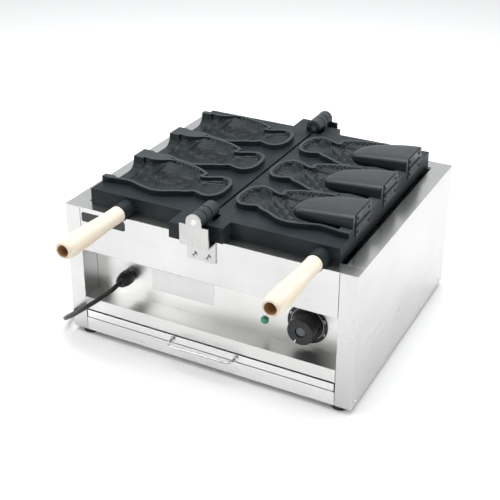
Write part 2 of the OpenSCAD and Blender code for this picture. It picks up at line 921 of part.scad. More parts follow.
// A round bar bent along the points p, with bend radius r
function unit(v) = v / norm(v);
function across(v) = unit(abs(v[2]) < 0.9 * norm(v) ? cross(v, [0, 0, 1]) : cross(v, [1, 0, 0]));
function cut_back(p, i, r) =
  i <= 0 || i >= len(p) - 1 ? 0 :
  let (a = unit(p[i] - p[i - 1]), b = unit(p[i + 1] - p[i]), turn = acos(min(1, max(-1, a * b))))
  r * tan(turn / 2);
module bent_bar(p, d, r) {
  for (i = [0:len(p) - 2]) {
    a = unit(p[i + 1] - p[i]);
    x = across(a);
    y = cross(a, x);
    from = p[i] + a * cut_back(p, i, r);
    long = norm(p[i + 1] - p[i]) - cut_back(p, i, r) - cut_back(p, i + 1, r);
    multmatrix([[x[0], y[0], a[0], from[0]], [x[1], y[1], a[1], from[1]],
      [x[2], y[2], a[2], from[2]], [0, 0, 0, 1]])
      cylinder(d = d, h = long, $fn = 24);
  }
  for (i = [1:1:len(p) - 2]) {
    a = unit(p[i] - p[i - 1]);
    b = unit(p[i + 1] - p[i]);
    m = unit(b - a * (a * b));
    n = cross(a, m);
    c = p[i] - a * cut_back(p, i, r) + m * r;
    multmatrix([[-m[0], a[0], n[0], c[0]], [-m[1], a[1], n[1], c[1]],
      [-m[2], a[2], n[2], c[2]], [0, 0, 0, 1]])
      rotate_extrude(angle = acos(a * b), $fn = 32)
        translate([r, 0])
          circle(d = d, $fn = 24);
  }
}

module tray_pull() {
  x = pull_w / 2;
  color("#cfd1d2") {
    bent_bar([[-x, tray_t + 3, pull_z], [-x, -pull_out, pull_z], [x, -pull_out, pull_z],
      [x, tray_t + 3, pull_z]], pull_d, 12);
    for (s = [-1, 1], y = [-2, tray_t])
      translate([s * x, y + 2, pull_z])
        rotate([90, 0, 0])
          difference() {
            cylinder(d = pull_d + 4, h = 2);
            translate([0, 0, -1]) cylinder(d = pull_d - 1, h = 4);
          }
  }
}

// Feet and screws
module feet() {
  color("#1d1d1e")
    for (s = [-1, 1], y = [foot_y, cab_d - foot_y])
      translate([s * foot_x, y, -foot_h])
        difference() {
          cylinder(d1 = foot_d - 3, d2 = foot_d, h = foot_h);
          translate([0, 0, -1]) cylinder(d = foot_screw_d + 2 * fit, h = foot_h + 2);
          translate([0, 0, -1]) cylinder(d = 2 * foot_screw_d, h = 4.5);
        }
}
module foot_screws() {
  color("#b9bcbe")
    for (s = [-1, 1], y = [foot_y, cab_d - foot_y])
      translate([s * foot_x, y, 0]) {
        translate([0, 0, 3 - foot_h])
          cylinder(d = foot_screw_d, h = foot_h + 2 * sheet - 3 + 3);
        translate([0, 0, 0.9 - foot_h])
          cylinder(d = 1.7 * foot_screw_d, h = 2.6);
        translate([0, 0, 2 * sheet])
          cylinder(d = 8, h = 2.5, $fn = 6);
      }
}
module panel_screws() {
  color("#a9acae")
    for (s = [-1, 1])
      translate([s * (cab_w / 2), 0, 0])
        side_screw_places()
          rotate([0, s > 0 ? 0 : 180, 0]) {
            translate([0, 0, -8]) cylinder(d = 4, h = 8.1);
            cylinder(d1 = 7, d2 = 5, h = 1.4);
          }
}

badge_w = 86;
badge_h = 17;
badge_r = 3.5;
badge_t = 0.6;
badge_x = 4 + badge_w / 2 - inner_x;
badge_z = cab_h - 8 - badge_h / 2;
module badge_plate() {
  color("#16181a")
    translate([badge_x, 0, badge_z])
      rotate([90, 0, 0])
        linear_extrude(badge_t)
          union() {
            square([badge_w, badge_h - 2 * badge_r], center = true);
            square([badge_w - 2 * badge_r, badge_h], center = true);
            for (x = [-1, 1], y = [-1, 1])
              translate([x * (badge_w / 2 - badge_r), y * (badge_h / 2 - badge_r)])
                circle(badge_r);
          }
}
rating_w = 121;
rating_h = 40;
rating_t = 0.4;
rating_x = 113 - inner_x;
rating_z = shelf_z + 26;
module rating_plate() {
  color("#f2f2ef")
    translate([rating_x, recess - rating_t, rating_z])
      cube([rating_w, rating_t, rating_h]);
}

// Heating
element_z = cab_h - 22;
element_y0 = recess + 40;
element_y1 = cab_d - 56;
rail_ys = [wire_y + 40, cab_d - 82];
bulb_x = 120;
bulb_y = recess + 22;
bend_r = 16;
rail_h = 20;
rail_t = 3;
leg_low = 30;
function element_x(k) = 45 + k * element_pitch;
module element(side) {
  e = element_z;
  drop = ledge_z - leg_low;
  turn_y = element_y0 - 30;
  p = [
    [element_x(0), element_y0, drop], [element_x(0), element_y0, e],
    [element_x(0), element_y1, e], [element_x(1), element_y1, e],
    [element_x(1), turn_y, e], [element_x(2), turn_y, e],
    [element_x(2), element_y1, e], [element_x(3), element_y1, e],
    [element_x(3), element_y0, e], [element_x(3), element_y0, drop]
  ];
  color("#6d6f70")
    bent_bar([for (q = p) [side * q[0], q[1], q[2]]], element_d, bend_r);
}
module element_rails() {
  color("#bfc1c3")
    for (y = rail_ys)
      translate([-liner_x + touch, y, element_z - element_d / 2 - touch - rail_h])
        cube([2 * liner_x - 2 * touch, rail_t, rail_h]);
}

module thermostat() {
  color("#e8e4d8")
    difference() {
      translate([knob_x - 18, recess + sheet, knob_z - 22])
        cube([36, 34, 44]);
      translate([knob_x, 0, knob_z])
        rotate([-90, 0, 0])
          cylinder(d = shaft_d + 2 * fit, h = recess + sheet + 12);
    }
}
module thermostat_shaft() {
  color("#c9a24a")
    translate([knob_x, recess - knob_l + 8, knob_z])
      rotate([-90, 0, 0])
        cylinder(d = shaft_d, h = knob_l - 8 + sheet + 11);
}
module thermostat_bulb() {
  d = 6;
  z = element_z - element_d / 2 + d / 2;
  color("#b56c3c") {
    translate([bulb_x, rail_ys[0] - 40, z])
      rotate([-90, 0, 0])
        cylinder(d = d, h = 80);
    bent_bar([[knob_x - 18, bulb_y, knob_z + 12], [bulb_x, bulb_y, knob_z + 12],
      [bulb_x, bulb_y, z], [bulb_x, rail_ys[0] - 38, z]], 2, 5);
  }
}

// Knob: smooth drum with a pointer groove at its rim and a centre recess
module knob() {
  r = knob_d / 2;
  color("#1b1c1e")
    difference() {
      translate([knob_x, recess - 2, knob_z])
        rotate([90, 0, 0])
          rotate_extrude($fn = 96)
            polygon([
              [0, 0], [r, 0], [r, 3], [r - 1.2, 4], [r - 1.8, knob_l - 2],
              [r - 3.4, knob_l], [0, knob_l]
            ]);
      translate([knob_x, recess - 2 - knob_l + 8, knob_z])
        rotate([-90, 0, 0])
          cylinder(d = shaft_d + 2 * fit, h = knob_l);
      translate([knob_x, recess - 2 - knob_l - 1, knob_z])
        rotate([-90, 0, 0])
          cylinder(d = 17, h = 2.5);
      translate([knob_x, recess - 2 - knob_l - 1, knob_z])
        rotate([0, 25, 0])
          translate([-0.6, 0, -r - 1])
            cube([1.2, 1.8, 8]);
    }
}
module knob_cap() {
  color("#2a2c2f")
    translate([knob_x, recess - 2 - knob_l + 0.3, knob_z])
      rotate([-90, 0, 0])
        cylinder(d = 16.8, h = 1.2);
}
module dial_ring() {
  color("#1b1c1e")
    translate([knob_x, recess, knob_z])
      rotate([90, 0, 0])
        difference() {
          cylinder(d = dial_d, h = 1.2, $fn = 96);
          translate([0, 0, -1]) cylinder(d = 12, h = 4);
        }
}

module lamp_lens() {
  color("#2fae54")
    translate([lamp_x, recess, lamp_z])
      rotate([90, 0, 0])
        rotate_extrude()
          polygon([[0, 0], [lamp_d / 2, 0], [lamp_d / 2, 2], [lamp_d / 2 - 1.5, 4.5],
            [lamp_d / 2 - 4, 5.5], [0, 5.5]]);
}
module lamp_body() {
  color("#222325")
    translate([lamp_x, recess, lamp_z])
      rotate([-90, 0, 0]) {
        cylinder(d = lamp_body_d, h = 26);
        translate([0, 0, sheet])
          cylinder(d = 17, h = 4, $fn = 6);
      }
}

function lead_x(k) = k > 0 ? 40 : 20;
module terminal_block() {
  color("#e9e6dc")
    difference() {
      translate([-50, element_y0 - 13, shelf_z])
        cube([100, 26, 20]);
      for (k = [0:4])
        translate([-40 + k * 20, element_y0, shelf_z + 8])
          cylinder(d = 5, h = 20);
    }
}
module inner_leads() {
  low = shelf_z + 10;
  color("#d8d4c6") {
    for (s = [-1, 1], k = [0, 3])
      bent_bar([
        [s * element_x(k), element_y0, ledge_z - leg_low - touch],
        [s * element_x(k), element_y0, low + 30 - 5 * k],
        [s * lead_x(k), element_y0, low + 30 - 5 * k],
        [s * lead_x(k), element_y0, low]
      ], 3, 5);
    bent_bar([[gland_x, recess - 10, gland_z], [gland_x, recess + 20, gland_z],
      [0, recess + 20, gland_z], [0, element_y0, gland_z], [0, element_y0, low]], 3, 5);
  }
}

// Gland: threaded body through the panel with a hexagon, and the dome nut
module gland_body() {
  color("#17181a")
    translate([gland_x, recess, gland_z])
      rotate([90, 0, 0])
        difference() {
          union() {
            translate([0, 0, -12]) cylinder(d = gland_thread_d, h = 24);
            cylinder(d = 24, h = 6, $fn = 6);
            translate([0, 0, -sheet - 4]) cylinder(d = 24, h = 4, $fn = 6);
          }
          translate([0, 0, -20]) cylinder(d = cord_d + 1, h = 60);
        }
}
module gland_nut() {
  color("#17181a")
    translate([gland_x, recess, gland_z])
      rotate([90, 0, 0])
        difference() {
          union() {
            translate([0, 0, 6 + touch]) cylinder(d = 26, h = 14, $fn = 6);
            translate([0, 0, 20]) cylinder(d1 = 23, d2 = 16, h = gland_l - 20);
          }
          translate([0, 0, 5]) cylinder(d = gland_thread_d + 2 * fit, h = 7 + 2 * fit);
          translate([0, 0, 5]) cylinder(d = cord_d + 2 * fit, h = 60);
        }
}
gland_l = 35;

// Cord: points in the object's own frame
cord_d = 8;
lead_start = [-167, -136, 118];
lead_route = [
  [-167, -161, 118], [-167, -171, 118], [-168, -182, 116], [-173, -195, 112],
  [-183, -205, 104], [-198, -210, 92], [-217, -209, 76], [-237, -203, 59], [-257, -194, 43],
  [-273, -180, 29], [-284, -162, 18], [-289, -140, 10], [-290, -115, 5.5], [-290, -88, 4.2],
  [-291, -40, 4.2], [-294, 20, 4.2], [-297, 80, 4.2], [-300, 126, 4.2], [-300, 144, 4.2]
];
coil_start = [-300, 152, 4.2];
coil_end = [-300, 168, 13];
tail_route = [
  [-300, 176, 13], [-300, 192, 11.5], [-299, 210, 11], [-298, 228, 14], [-297, 244, 17]
];
plug_at = [-297, 252, 17];

// Flat coil in two layers: spirals in, climbs one layer, spirals out
coil_c = [-355, 160];
coil_r = 55;
coil_turns = 4;
coil_pitch = 9;
coil_rings = 24 * coil_turns;
function coil_point(turn) =
  let (
    half = coil_turns / 2,
    r = coil_r - coil_pitch * (half - abs(turn - half)),
    rise = min(1, max(0, 2 * (turn - half) + 0.5)),
    z = coil_start[2] + (coil_end[2] - coil_start[2]) * rise * rise * (3 - 2 * rise)
  )
  [coil_c[0] + r * cos(360 * turn), coil_c[1] + r * sin(360 * turn), z];
coil_path = concat(
  [coil_start],
  [for (i = [0:coil_rings]) coil_point(coil_turns * i / coil_rings)],
  [coil_end]
);

// Rings of a tube along a path; side vectors turn with the path and stay level
function heading(p, i) =
  i == 0 ? unit(p[1] - p[0]) :
  i == len(p) - 1 ? unit(p[i] - p[i - 1]) :
  unit(unit(p[i + 1] - p[i]) + unit(p[i] - p[i - 1]));
function ring(p, i, d, n) =
  let (a = heading(p, i), x = unit(cross(a, [0, 0, 1])), y = cross(x, a))
  [for (k = [0:n - 1]) p[i] + d / 2 * (cos(360 * (k + 0.5) / n) * x + sin(360 * (k + 0.5) / n) * y)];
module tube(p, d, n) {
  rings = [for (i = [len(p) - 1:-1:0]) ring(p, i, d, n)];
  m = len(rings) - 1;
  points = [for (r = rings, q = r) q];
  sides = [for (i = [0:m - 1], k = [0:n - 1])
    let (a = i * n + k, b = i * n + (k + 1) % n)
    each [[a, b + n, b], [a, a + n, b + n]]];
  polyhedron(points, concat([[for (k = [0:n - 1]) k]], sides, [[for (k = [0:n - 1]) m * n + n - 1 - k]]));
}

module cord_lead() {
  color("#141516")
    tube(concat([lead_start], curve(lead_route, 2), [coil_start]), cord_d, 8);
}
module cord_coil() {
  last = len(coil_path) - 1;
  gaps = [for (i = [0:last], j = [i + 12:1:last]) norm(coil_path[i] - coil_path[j]) - cord_d];
  echo(least_gap_of_the_coil = min(gaps));
  color("#141516")
    tube(coil_path, cord_d, 6);
}
module cord_tail() {
  color("#141516")
    tube(concat([coil_end], curve(tail_route, 2), [plug_at]), cord_d, 8);
}
module plug_body() {
  color("#141516")
    translate(plug_at)
      rotate([-90, 0, 0])
        rotate_extrude()
          polygon([[0, 0], [5.5, 0], [7, 16], [11, 20], [16, 30], [17, 34], [17, 52], [0, 52]]);
}
module plug_pins() {
  color("#c9cbcc")
    for (s = [-1, 1])
      translate([plug_at[0] + s * 9.5, plug_at[1] + 52, plug_at[2]])
        rotate([-90, 0, 0])
          cylinder(d = 4.8, h = 19);
}

module place() {
  translate([0, -mid_y, foot_h]) children();
}

place() left_side_panel();
place() right_side_panel();
place() front_fascia();
place() rear_panel();
place() control_panel();
place() shelf();
place() base_pan();
place() front_liner();
place() left_liner();
place() right_liner();
place() rear_liner();
place() tray_runners();
place() crumb_tray();
place() tray_pull();
place() feet();
place() foot_screws();
place() panel_screws();
place() badge_plate();
place() rating_plate();
place() element(-1);  // left_element
place() element(1);  // right_element
place() element_rails();
place() thermostat();
place() thermostat_shaft();
place() thermostat_bulb();
place() knob();
place() knob_cap();
place() dial_ring();
place() lamp_lens();
place() lamp_body();
place() terminal_block();
place() inner_leads();
place() gland_body();
place() gland_nut();
place() bracket();  // front_bracket
place() translate([0, cab_d, 0]) mirror([0, 1, 0]) bracket();  // rear_bracket
place() bracket_screws();
place() hinge_pins();
place() left_plate();
place() right_plate();
place() rod(-left_handle_x);  // left_rod
place() grip(-left_handle_x);  // left_grip
place() rod(right_handle_x);  // right_rod
place() grip(right_handle_x);  // right_grip
place() former(0);  // front_former
place() former(1);  // middle_former
place() former(2);  // rear_former
place() former_leaf(0);  // front_leaf
place() former_leaf(1);  // middle_leaf
place() former_leaf(2);  // rear_leaf
place() fixed_leaves();
place() leaf_pins();
place() fixed_leaf_screws();
cord_lead();
cord_coil();
cord_tail();
plug_body();
plug_pins();
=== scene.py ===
# %% [markdown]
# # A countertop griddle for fish-shaped cakes
# The real machine is a folded stainless cabinet with two dark cast plates that open like a book.
# The CAD model brings every solid part in its true place and size. This lesson dresses it: it
# gives each part its finish, and adds what the solids leave out, such as the fish relief.
# Everything is in metres, in the frame of the CAD model: x to the right, y to the back, z up.

# %% Load the CAD frame
from math import cos, pi, radians, sin

import bmesh
import bpy
import numpy as np
from mathutils import Matrix, Quaternion, Vector
from mathutils.bvhtree import BVHTree


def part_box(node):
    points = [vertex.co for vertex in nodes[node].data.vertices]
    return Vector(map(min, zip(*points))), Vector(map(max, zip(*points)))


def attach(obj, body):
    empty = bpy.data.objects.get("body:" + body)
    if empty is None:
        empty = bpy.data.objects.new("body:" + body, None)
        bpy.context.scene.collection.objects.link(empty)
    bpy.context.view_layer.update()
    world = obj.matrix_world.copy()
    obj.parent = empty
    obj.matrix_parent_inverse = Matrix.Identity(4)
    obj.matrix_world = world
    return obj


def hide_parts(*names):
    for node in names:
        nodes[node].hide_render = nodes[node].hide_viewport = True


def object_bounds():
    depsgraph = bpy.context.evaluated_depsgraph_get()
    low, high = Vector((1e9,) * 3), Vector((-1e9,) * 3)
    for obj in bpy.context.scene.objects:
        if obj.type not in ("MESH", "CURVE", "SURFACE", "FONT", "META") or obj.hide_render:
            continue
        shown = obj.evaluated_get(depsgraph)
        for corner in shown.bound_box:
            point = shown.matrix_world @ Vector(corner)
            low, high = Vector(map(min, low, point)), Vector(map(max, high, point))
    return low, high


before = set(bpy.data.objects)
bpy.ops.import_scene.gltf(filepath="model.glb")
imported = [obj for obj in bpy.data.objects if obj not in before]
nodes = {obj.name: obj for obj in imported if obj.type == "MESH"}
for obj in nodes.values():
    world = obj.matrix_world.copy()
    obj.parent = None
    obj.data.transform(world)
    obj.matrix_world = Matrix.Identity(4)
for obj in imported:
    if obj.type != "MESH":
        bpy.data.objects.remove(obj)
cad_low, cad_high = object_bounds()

size = cad_high - cad_low
print("CAD box, mm:", [round(1000 * v, 1) for v in size], "with", len(nodes), "nodes")

# %% [markdown]
# The maker's drawing measures from the cabinet: x from its middle, y from its front face and z
# from its bottom edge, in millimetres. One helper turns such a point into the frame's metres.
# It reads the two offsets from the CAD parts, so the scene follows the drawing.

# %% Cabinet coordinates
MM = 0.001
front_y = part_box("front_fascia")[0].y
bottom_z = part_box("rear_panel")[0].z


def at(x, y, z):
    """A point of the cabinet's drawing, in millimetres, as a point of the frame."""
    return Vector((x * MM, front_y + y * MM, bottom_z + z * MM))


print("cabinet's front at y", round(front_y, 4), "and its bottom at z", round(bottom_z, 4))

# %% [markdown]
# ## Camera
# The picture was taken from the front right and a little above. The camera's place and angles
# come from matching the cabinet's corners with their places in the picture. The small shift is
# there because the lens looked at a point above the picture's middle.

# %% Camera
FRAME_PX, SENSOR_MM = 500, 36
focal_px = 1008.4
middle_px = (258.0, 173.8)
azimuth, elevation, roll = (radians(a) for a in (26.87, 24.38, 0.46))
eye = at(713, -1213, 988)


def add_object(name, data):
    """A new object in the scene."""
    thing = bpy.data.objects.new(name, data)
    bpy.context.collection.objects.link(thing)
    return thing


camera = add_object("camera", bpy.data.cameras.new("camera"))
camera.data.sensor_width = SENSOR_MM
camera.data.lens = SENSOR_MM * focal_px / FRAME_PX
camera.data.shift_x = (FRAME_PX / 2 - middle_px[0]) / FRAME_PX
camera.data.shift_y = (middle_px[1] - FRAME_PX / 2) / FRAME_PX
away = Vector((-sin(azimuth) * cos(elevation), cos(azimuth) * cos(elevation),
               -sin(elevation)))
camera.rotation_mode = "QUATERNION"
camera.rotation_quaternion = away.to_track_quat("-Z", "Y") @ Quaternion((0, 0, 1), roll)
camera.location = eye
camera.data.clip_start, camera.data.clip_end = 0.05, 60
bpy.context.scene.camera = camera
print("lens, mm:", round(camera.data.lens, 1))

# %% [markdown]
# ## The cord
# A rubber mains cord leaves the gland straight, falls to the table under its own weight, runs
# back along the cabinet's left side and ends there in a neat coil that the camera doesn't see.
# The route is a list of points that a curve passes through smoothly, so the cord keeps one
# thickness and one length. A mesh tube is swept along it, with rings close enough for a coil.

# %% Helpers for meshes
def mesh_piece(name, points, faces, smooth=True):
    """A mesh object from points in metres and faces."""
    mesh = bpy.data.meshes.new(name)
    mesh.from_pydata([tuple(p) for p in points], [], faces)
    mesh.validate()
    mesh.update()
    mesh.shade_smooth() if smooth else mesh.shade_flat()
    return add_object(name, mesh)


def smooth_route(points, steps):
    """Points along a smooth curve through the given points."""
    p = [Vector(q) for q in points]
    out = []
    for i in range(len(p) - 1):
        a, b, c, d = p[max(i - 1, 0)], p[i], p[i + 1], p[min(i + 2, len(p) - 1)]
        for k in range(steps):
            t = k / steps
            out.append(0.5 * (2 * b + (c - a) * t + (2 * a - 5 * b + 4 * c - d) * t ** 2
                              + (3 * b - a - 3 * c + d) * t ** 3))
    return out + [p[-1]]


def circle(sides):
    """The angles of evenly spaced points round one turn."""
    return [2 * pi * k / sides for k in range(sides)]


def ring_faces(rings, sides):
    """The faces between rings of points that follow each other in one list."""
    pairs = [(i * sides + k, i * sides + (k + 1) % sides)
             for i in range(rings - 1) for k in range(sides)]
    return [(a, b, b + sides, a + sides) for a, b in pairs]


def sweep(path, radius, sides):
    """Points and faces of a closed round tube along a path that starts out level."""
    side = (path[1] - path[0]).normalized().cross(Vector((0, 0, 1)))
    points = []
    for i, p in enumerate(path):
        ahead = (path[min(i + 1, len(path) - 1)] - path[max(i - 1, 0)]).normalized()
        side = (side - ahead * side.dot(ahead)).normalized()
        up = side.cross(ahead)
        points += [p + radius * (cos(a) * side + sin(a) * up) for a in circle(sides)]
    faces = [(a, d, c, b) for a, b, c, d in ring_faces(len(path), sides)]
    last = (len(path) - 1) * sides
    return points, faces + [tuple(range(sides)), tuple(range(last + sides - 1, last - 1, -1))]


# %% The cord's route, in the frame's own millimetres
cord_d = 8
low_z, high_z = 4.2, 13  # the cord's middle on the table, and on the coil's upper layer
lead_start = (-167, -136, 118)
lead_route = [
    (-167, -161, 118), (-167, -171, 118), (-168, -182, 116), (-173, -195, 112),
    (-183, -205, 104), (-198, -210, 92), (-217, -209, 76), (-237, -203, 59), (-257, -194, 43),
    (-273, -180, 29), (-284, -162, 18), (-289, -140, 10), (-290, -115, 5.5), (-290, -88, low_z),
    (-291, -40, low_z), (-294, 20, low_z), (-297, 80, low_z), (-300, 126, low_z),
    (-300, 144, low_z)]
coil_start, coil_end = (-300, 152, low_z), (-300, 168, high_z)
tail_route = [(-300, 176, high_z), (-300, 192, 11.5), (-299, 210, 11), (-298, 228, 14),
              (-297, 244, 17)]
plug_at = (-297, 252, 17)
coil_centre, coil_r, coil_turns, coil_pitch, coil_steps = (-355, 160), 55, 4, 9, 36 * 4


def coil_point(turn):
    """A point of the coil: it winds inwards flat, climbs one layer and winds out again."""
    half = coil_turns / 2
    r = coil_r - coil_pitch * (half - abs(turn - half))
    rise = min(1, max(0, 2 * (turn - half) + 0.5))
    z = low_z + (high_z - low_z) * rise * rise * (3 - 2 * rise)
    a = 2 * pi * turn
    return (coil_centre[0] + r * cos(a), coil_centre[1] + r * sin(a), z)


route = ([Vector(lead_start)] + smooth_route(lead_route, 3) + [Vector(coil_start)]
         + [Vector(coil_point(coil_turns * i / coil_steps)) for i in range(coil_steps + 1)]
         + [Vector(coil_end)] + smooth_route(tail_route, 3) + [Vector(plug_at)])
route = [p * MM for p in route]

# %% Sweep the cord
cord = mesh_piece("cord", *sweep(route, cord_d / 2 * MM, 14))
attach(cord, "cabinet")
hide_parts("cord_lead", "cord_coil", "cord_tail")

# %% [markdown]
# ## Light and floor
# A white product picture needs a bright surround, so that the steel mirrors something white,
# and one broad soft light from above that lays a faint shadow under the machine. The surround
# is dim in front and bright behind, which gives the steel its greys, and two smaller soft lights
# fill in from the front left and from the right. The floor is one pale sheet. A few helpers
# place and link the nodes, here and in all the finishes.

# %% Helpers for node trees
def wire(tree, kind, links=None, **settings):
    """Adds one node. links gives its inputs, by name or number, as sockets or values."""
    node = tree.nodes.new(kind)
    for key, value in settings.items():
        setattr(node, key, value)
    for key, value in (links or {}).items():
        if isinstance(value, bpy.types.NodeSocket):
            tree.links.new(value, node.inputs[key])
        else:
            node.inputs[key].default_value = value
    return node


def calc(tree, operation, a, b):
    """One Math node; returns its output."""
    return wire(tree, "ShaderNodeMath", {0: a, 1: b}, operation=operation).outputs[0]


def spread(tree, value, low, high, to_low=0.0, to_high=1.0, slope="LINEAR"):
    """Maps value from low..high to to_low..to_high, held inside them."""
    return wire(tree, "ShaderNodeMapRange", {0: value, 1: low, 2: high, 3: to_low, 4: to_high},
                interpolation_type=slope).outputs[0]


def plain_graph(name):
    """A new material whose tree holds only its output and one Principled shader."""
    material = bpy.data.materials.new(name)
    material.use_nodes = True
    tree = material.node_tree
    tree.nodes.clear()
    shader = wire(tree, "ShaderNodeBsdfPrincipled")
    wire(tree, "ShaderNodeOutputMaterial", {"Surface": shader.outputs["BSDF"]})
    return material, tree, shader


# %% Floor, surround and lights
half = 9
corners = [(-half, -half, 0), (half, -half, 0), (half, half, 0), (-half, half, 0)]
floor = mesh_piece("floor", corners, [(0, 1, 2, 3)])
paper, tree, shader = plain_graph("backdrop_paper")
shader.inputs["Base Color"].default_value = (0.94, 0.94, 0.94, 1)
shader.inputs["Roughness"].default_value = 0.85
floor.data.materials.append(paper)

world = bpy.data.worlds.new("studio")
bpy.context.scene.world = world
world.use_nodes = True
sky = world.node_tree
background = sky.nodes["Background"]
direction = wire(sky, "ShaderNodeTexCoord").outputs["Generated"]
axes = wire(sky, "ShaderNodeSeparateXYZ", {0: direction}).outputs
front_to_back = spread(sky, axes["Y"], -0.75, 0.65, 0.22, 0.80, "SMOOTHSTEP")
upward = spread(sky, axes["Z"], 0.1, 0.9, 1.0, 1.1, "SMOOTHSTEP")
sky.links.new(calc(sky, "MULTIPLY", front_to_back, upward), background.inputs["Strength"])
background.inputs["Color"].default_value = (0.97, 0.985, 1, 1)


def soft_light(name, place, aim, width, height, watts):
    """A rectangular lamp at a place, turned to a point."""
    data = bpy.data.lights.new(name, "AREA")
    data.shape, data.size, data.size_y, data.energy = "RECTANGLE", width, height, watts
    lamp = add_object(name, data)
    lamp.location = place
    lamp.rotation_euler = (Vector(aim) - Vector(place)).to_track_quat("-Z", "Y").to_euler()


soft_light("overhead", (-0.15, 0.1, 2.3), (0, 0, 0), 2.6, 2.2, 60)
soft_light("front_left", (-2.0, -1.9, 1.7), (0, 0, 0.1), 1.6, 1.2, 27)
soft_light("right", (2.3, 0.1, 1.5), (0, 0, 0.1), 1.2, 1.2, 17)
bpy.context.scene.view_settings.view_transform = "Standard"

# %% [markdown]
# ## Effects that several finishes share
# Real edges are never razor sharp, and real surfaces are never one even tone. Each such effect
# is made once, as a node group with named sockets, and every finish sets its own values.
# The groups only put out colours, masks, heights and normals; the shader stays in the material.

# %% Helpers for groups and textures
FLOAT, VECTOR = "NodeSocketFloat", "NodeSocketVector"


def node_group(name, ins, outs):
    """An empty group with its sockets: ins are (name, kind, value) and outs (name, kind)."""
    tree = bpy.data.node_groups.new(name, "ShaderNodeTree")
    for label, kind, value in ins:
        socket = tree.interface.new_socket(label, in_out="INPUT", socket_type=kind)
        socket.default_value = value
    for label, kind in outs:
        tree.interface.new_socket(label, in_out="OUTPUT", socket_type=kind)
    return tree, tree.nodes.new("NodeGroupInput"), tree.nodes.new("NodeGroupOutput")


def own_place(tree):
    """The place on the piece itself, so that a finish moves with its piece."""
    return wire(tree, "ShaderNodeTexCoord").outputs["Object"]


def stretched(tree, vector, factors):
    """A vector times one factor for each axis."""
    return wire(tree, "ShaderNodeVectorMath", {0: vector, 1: factors},
                operation="MULTIPLY").outputs[0]


def noise(tree, vector, scale, detail, kind="3D", **others):
    """The grey value of a noise texture; others are further inputs of the node."""
    return wire(tree, "ShaderNodeTexNoise",
                {"Vector": vector, "Scale": scale, "Detail": detail, **others},
                noise_dimensions=kind).outputs["Fac"]


def mix(tree, by, first, second):
    """Two colours mixed by a value; each is a socket or three numbers."""
    a, b = (c if isinstance(c, bpy.types.NodeSocket) else (*c, 1) for c in (first, second))
    return wire(tree, "ShaderNodeMix", {0: by, 6: a, 7: b}, data_type="RGBA").outputs[2]


def blend_of(tree, first, share, second):
    """Two grey values added, the first with its share and the second with the rest."""
    return calc(tree, "ADD", calc(tree, "MULTIPLY", first, share),
                calc(tree, "MULTIPLY", second, 1 - share))


# %% Soft edges: a rounded normal, and an edge mask for wear and a painted highlight
soft_edges, ins, outs = node_group(
    "soft_edges", [("Radius", FLOAT, 0.001), ("Bite", FLOAT, 0.35)],
    [("Normal", VECTOR), ("Wear_and_highlight", FLOAT)])
bevel = wire(soft_edges, "ShaderNodeBevel", {"Radius": ins.outputs["Radius"]}, samples=4)
flat = wire(soft_edges, "ShaderNodeNewGeometry")
turned = wire(soft_edges, "ShaderNodeVectorMath",
              {0: bevel.outputs["Normal"], 1: flat.outputs["Normal"]}, operation="DOT_PRODUCT")
# Where the rounded normal leaves the flat one there is an edge; both limits are cosines.
edge = spread(soft_edges, turned.outputs["Value"], 0.995, 0.85)
chips = noise(soft_edges, own_place(soft_edges), 160.0, 4.0)
kept = calc(soft_edges, "MULTIPLY", edge, spread(soft_edges, chips, 0.42, 0.62))
wear_and_highlight = calc(soft_edges, "MULTIPLY", kept, ins.outputs["Bite"])
soft_edges.links.new(bevel.outputs["Normal"], outs.inputs["Normal"])
soft_edges.links.new(wear_and_highlight, outs.inputs["Wear_and_highlight"])

# %% Brushed lines: long fine scratches along one direction
brushed, ins, outs = node_group("brushed_lines", [("Stretch", VECTOR, (4, 900, 900))],
                                [("Height", FLOAT), ("Tone", FLOAT)])
laid = stretched(brushed, own_place(brushed), ins.outputs["Stretch"])
lines = noise(brushed, laid, 1.0, 3.0, "4D", Roughness=0.6)
bands = noise(brushed, stretched(brushed, laid, (0.35, 0.08, 0.08)), 1.0, 4.0)
brushed.links.new(lines, outs.inputs["Height"])
brushed.links.new(blend_of(brushed, lines, 0.4, bands), outs.inputs["Tone"])

# %% Clouds: a slow change over the surface, as of handling and dust
clouds, ins, outs = node_group(
    "clouds", [("Scale", FLOAT, 12.0), ("Low", FLOAT, 0.35), ("High", FLOAT, 0.65)],
    [("Value", FLOAT)])
puffs = noise(clouds, own_place(clouds), ins.outputs["Scale"], 5.0, Roughness=0.55)
clouds.links.new(spread(clouds, puffs, ins.outputs["Low"], ins.outputs["High"]),
                 outs.inputs["Value"])

# %% Fine grain: the tooth of cast, moulded or coated surfaces
grain, ins, outs = node_group(
    "fine_grain", [("Scale", FLOAT, 1500.0), ("Coarse", FLOAT, 0.3)], [("Height", FLOAT)])
place = own_place(grain)
sand = noise(grain, place, ins.outputs["Scale"], 2.0)
lumps = noise(grain, place, calc(grain, "MULTIPLY", ins.outputs["Scale"], 0.12), 3.0)
grain.links.new(calc(grain, "ADD", sand, calc(grain, "MULTIPLY", lumps, ins.outputs["Coarse"])),
                outs.inputs["Height"])
print("groups:", [g.name for g in bpy.data.node_groups])

# %% [markdown]
# ## Finishes
# Most finishes here share one recipe: two tones mixed by clouds, a brighter or darker tone at
# the edges that is partly wear and partly a painted highlight, roughness that changes with the
# same clouds, and a fine bump. So one function builds the graph and each finish gives its tones
# and numbers. The numbers that are the same all over stay on the shader's own sockets.

# %% One recipe for many finishes
def use(tree, group, **values):
    """Places a shared group in a material's tree with its own values."""
    node = tree.nodes.new("ShaderNodeGroup")
    node.node_tree = group
    for key, value in values.items():
        node.inputs[key].default_value = value
    return node


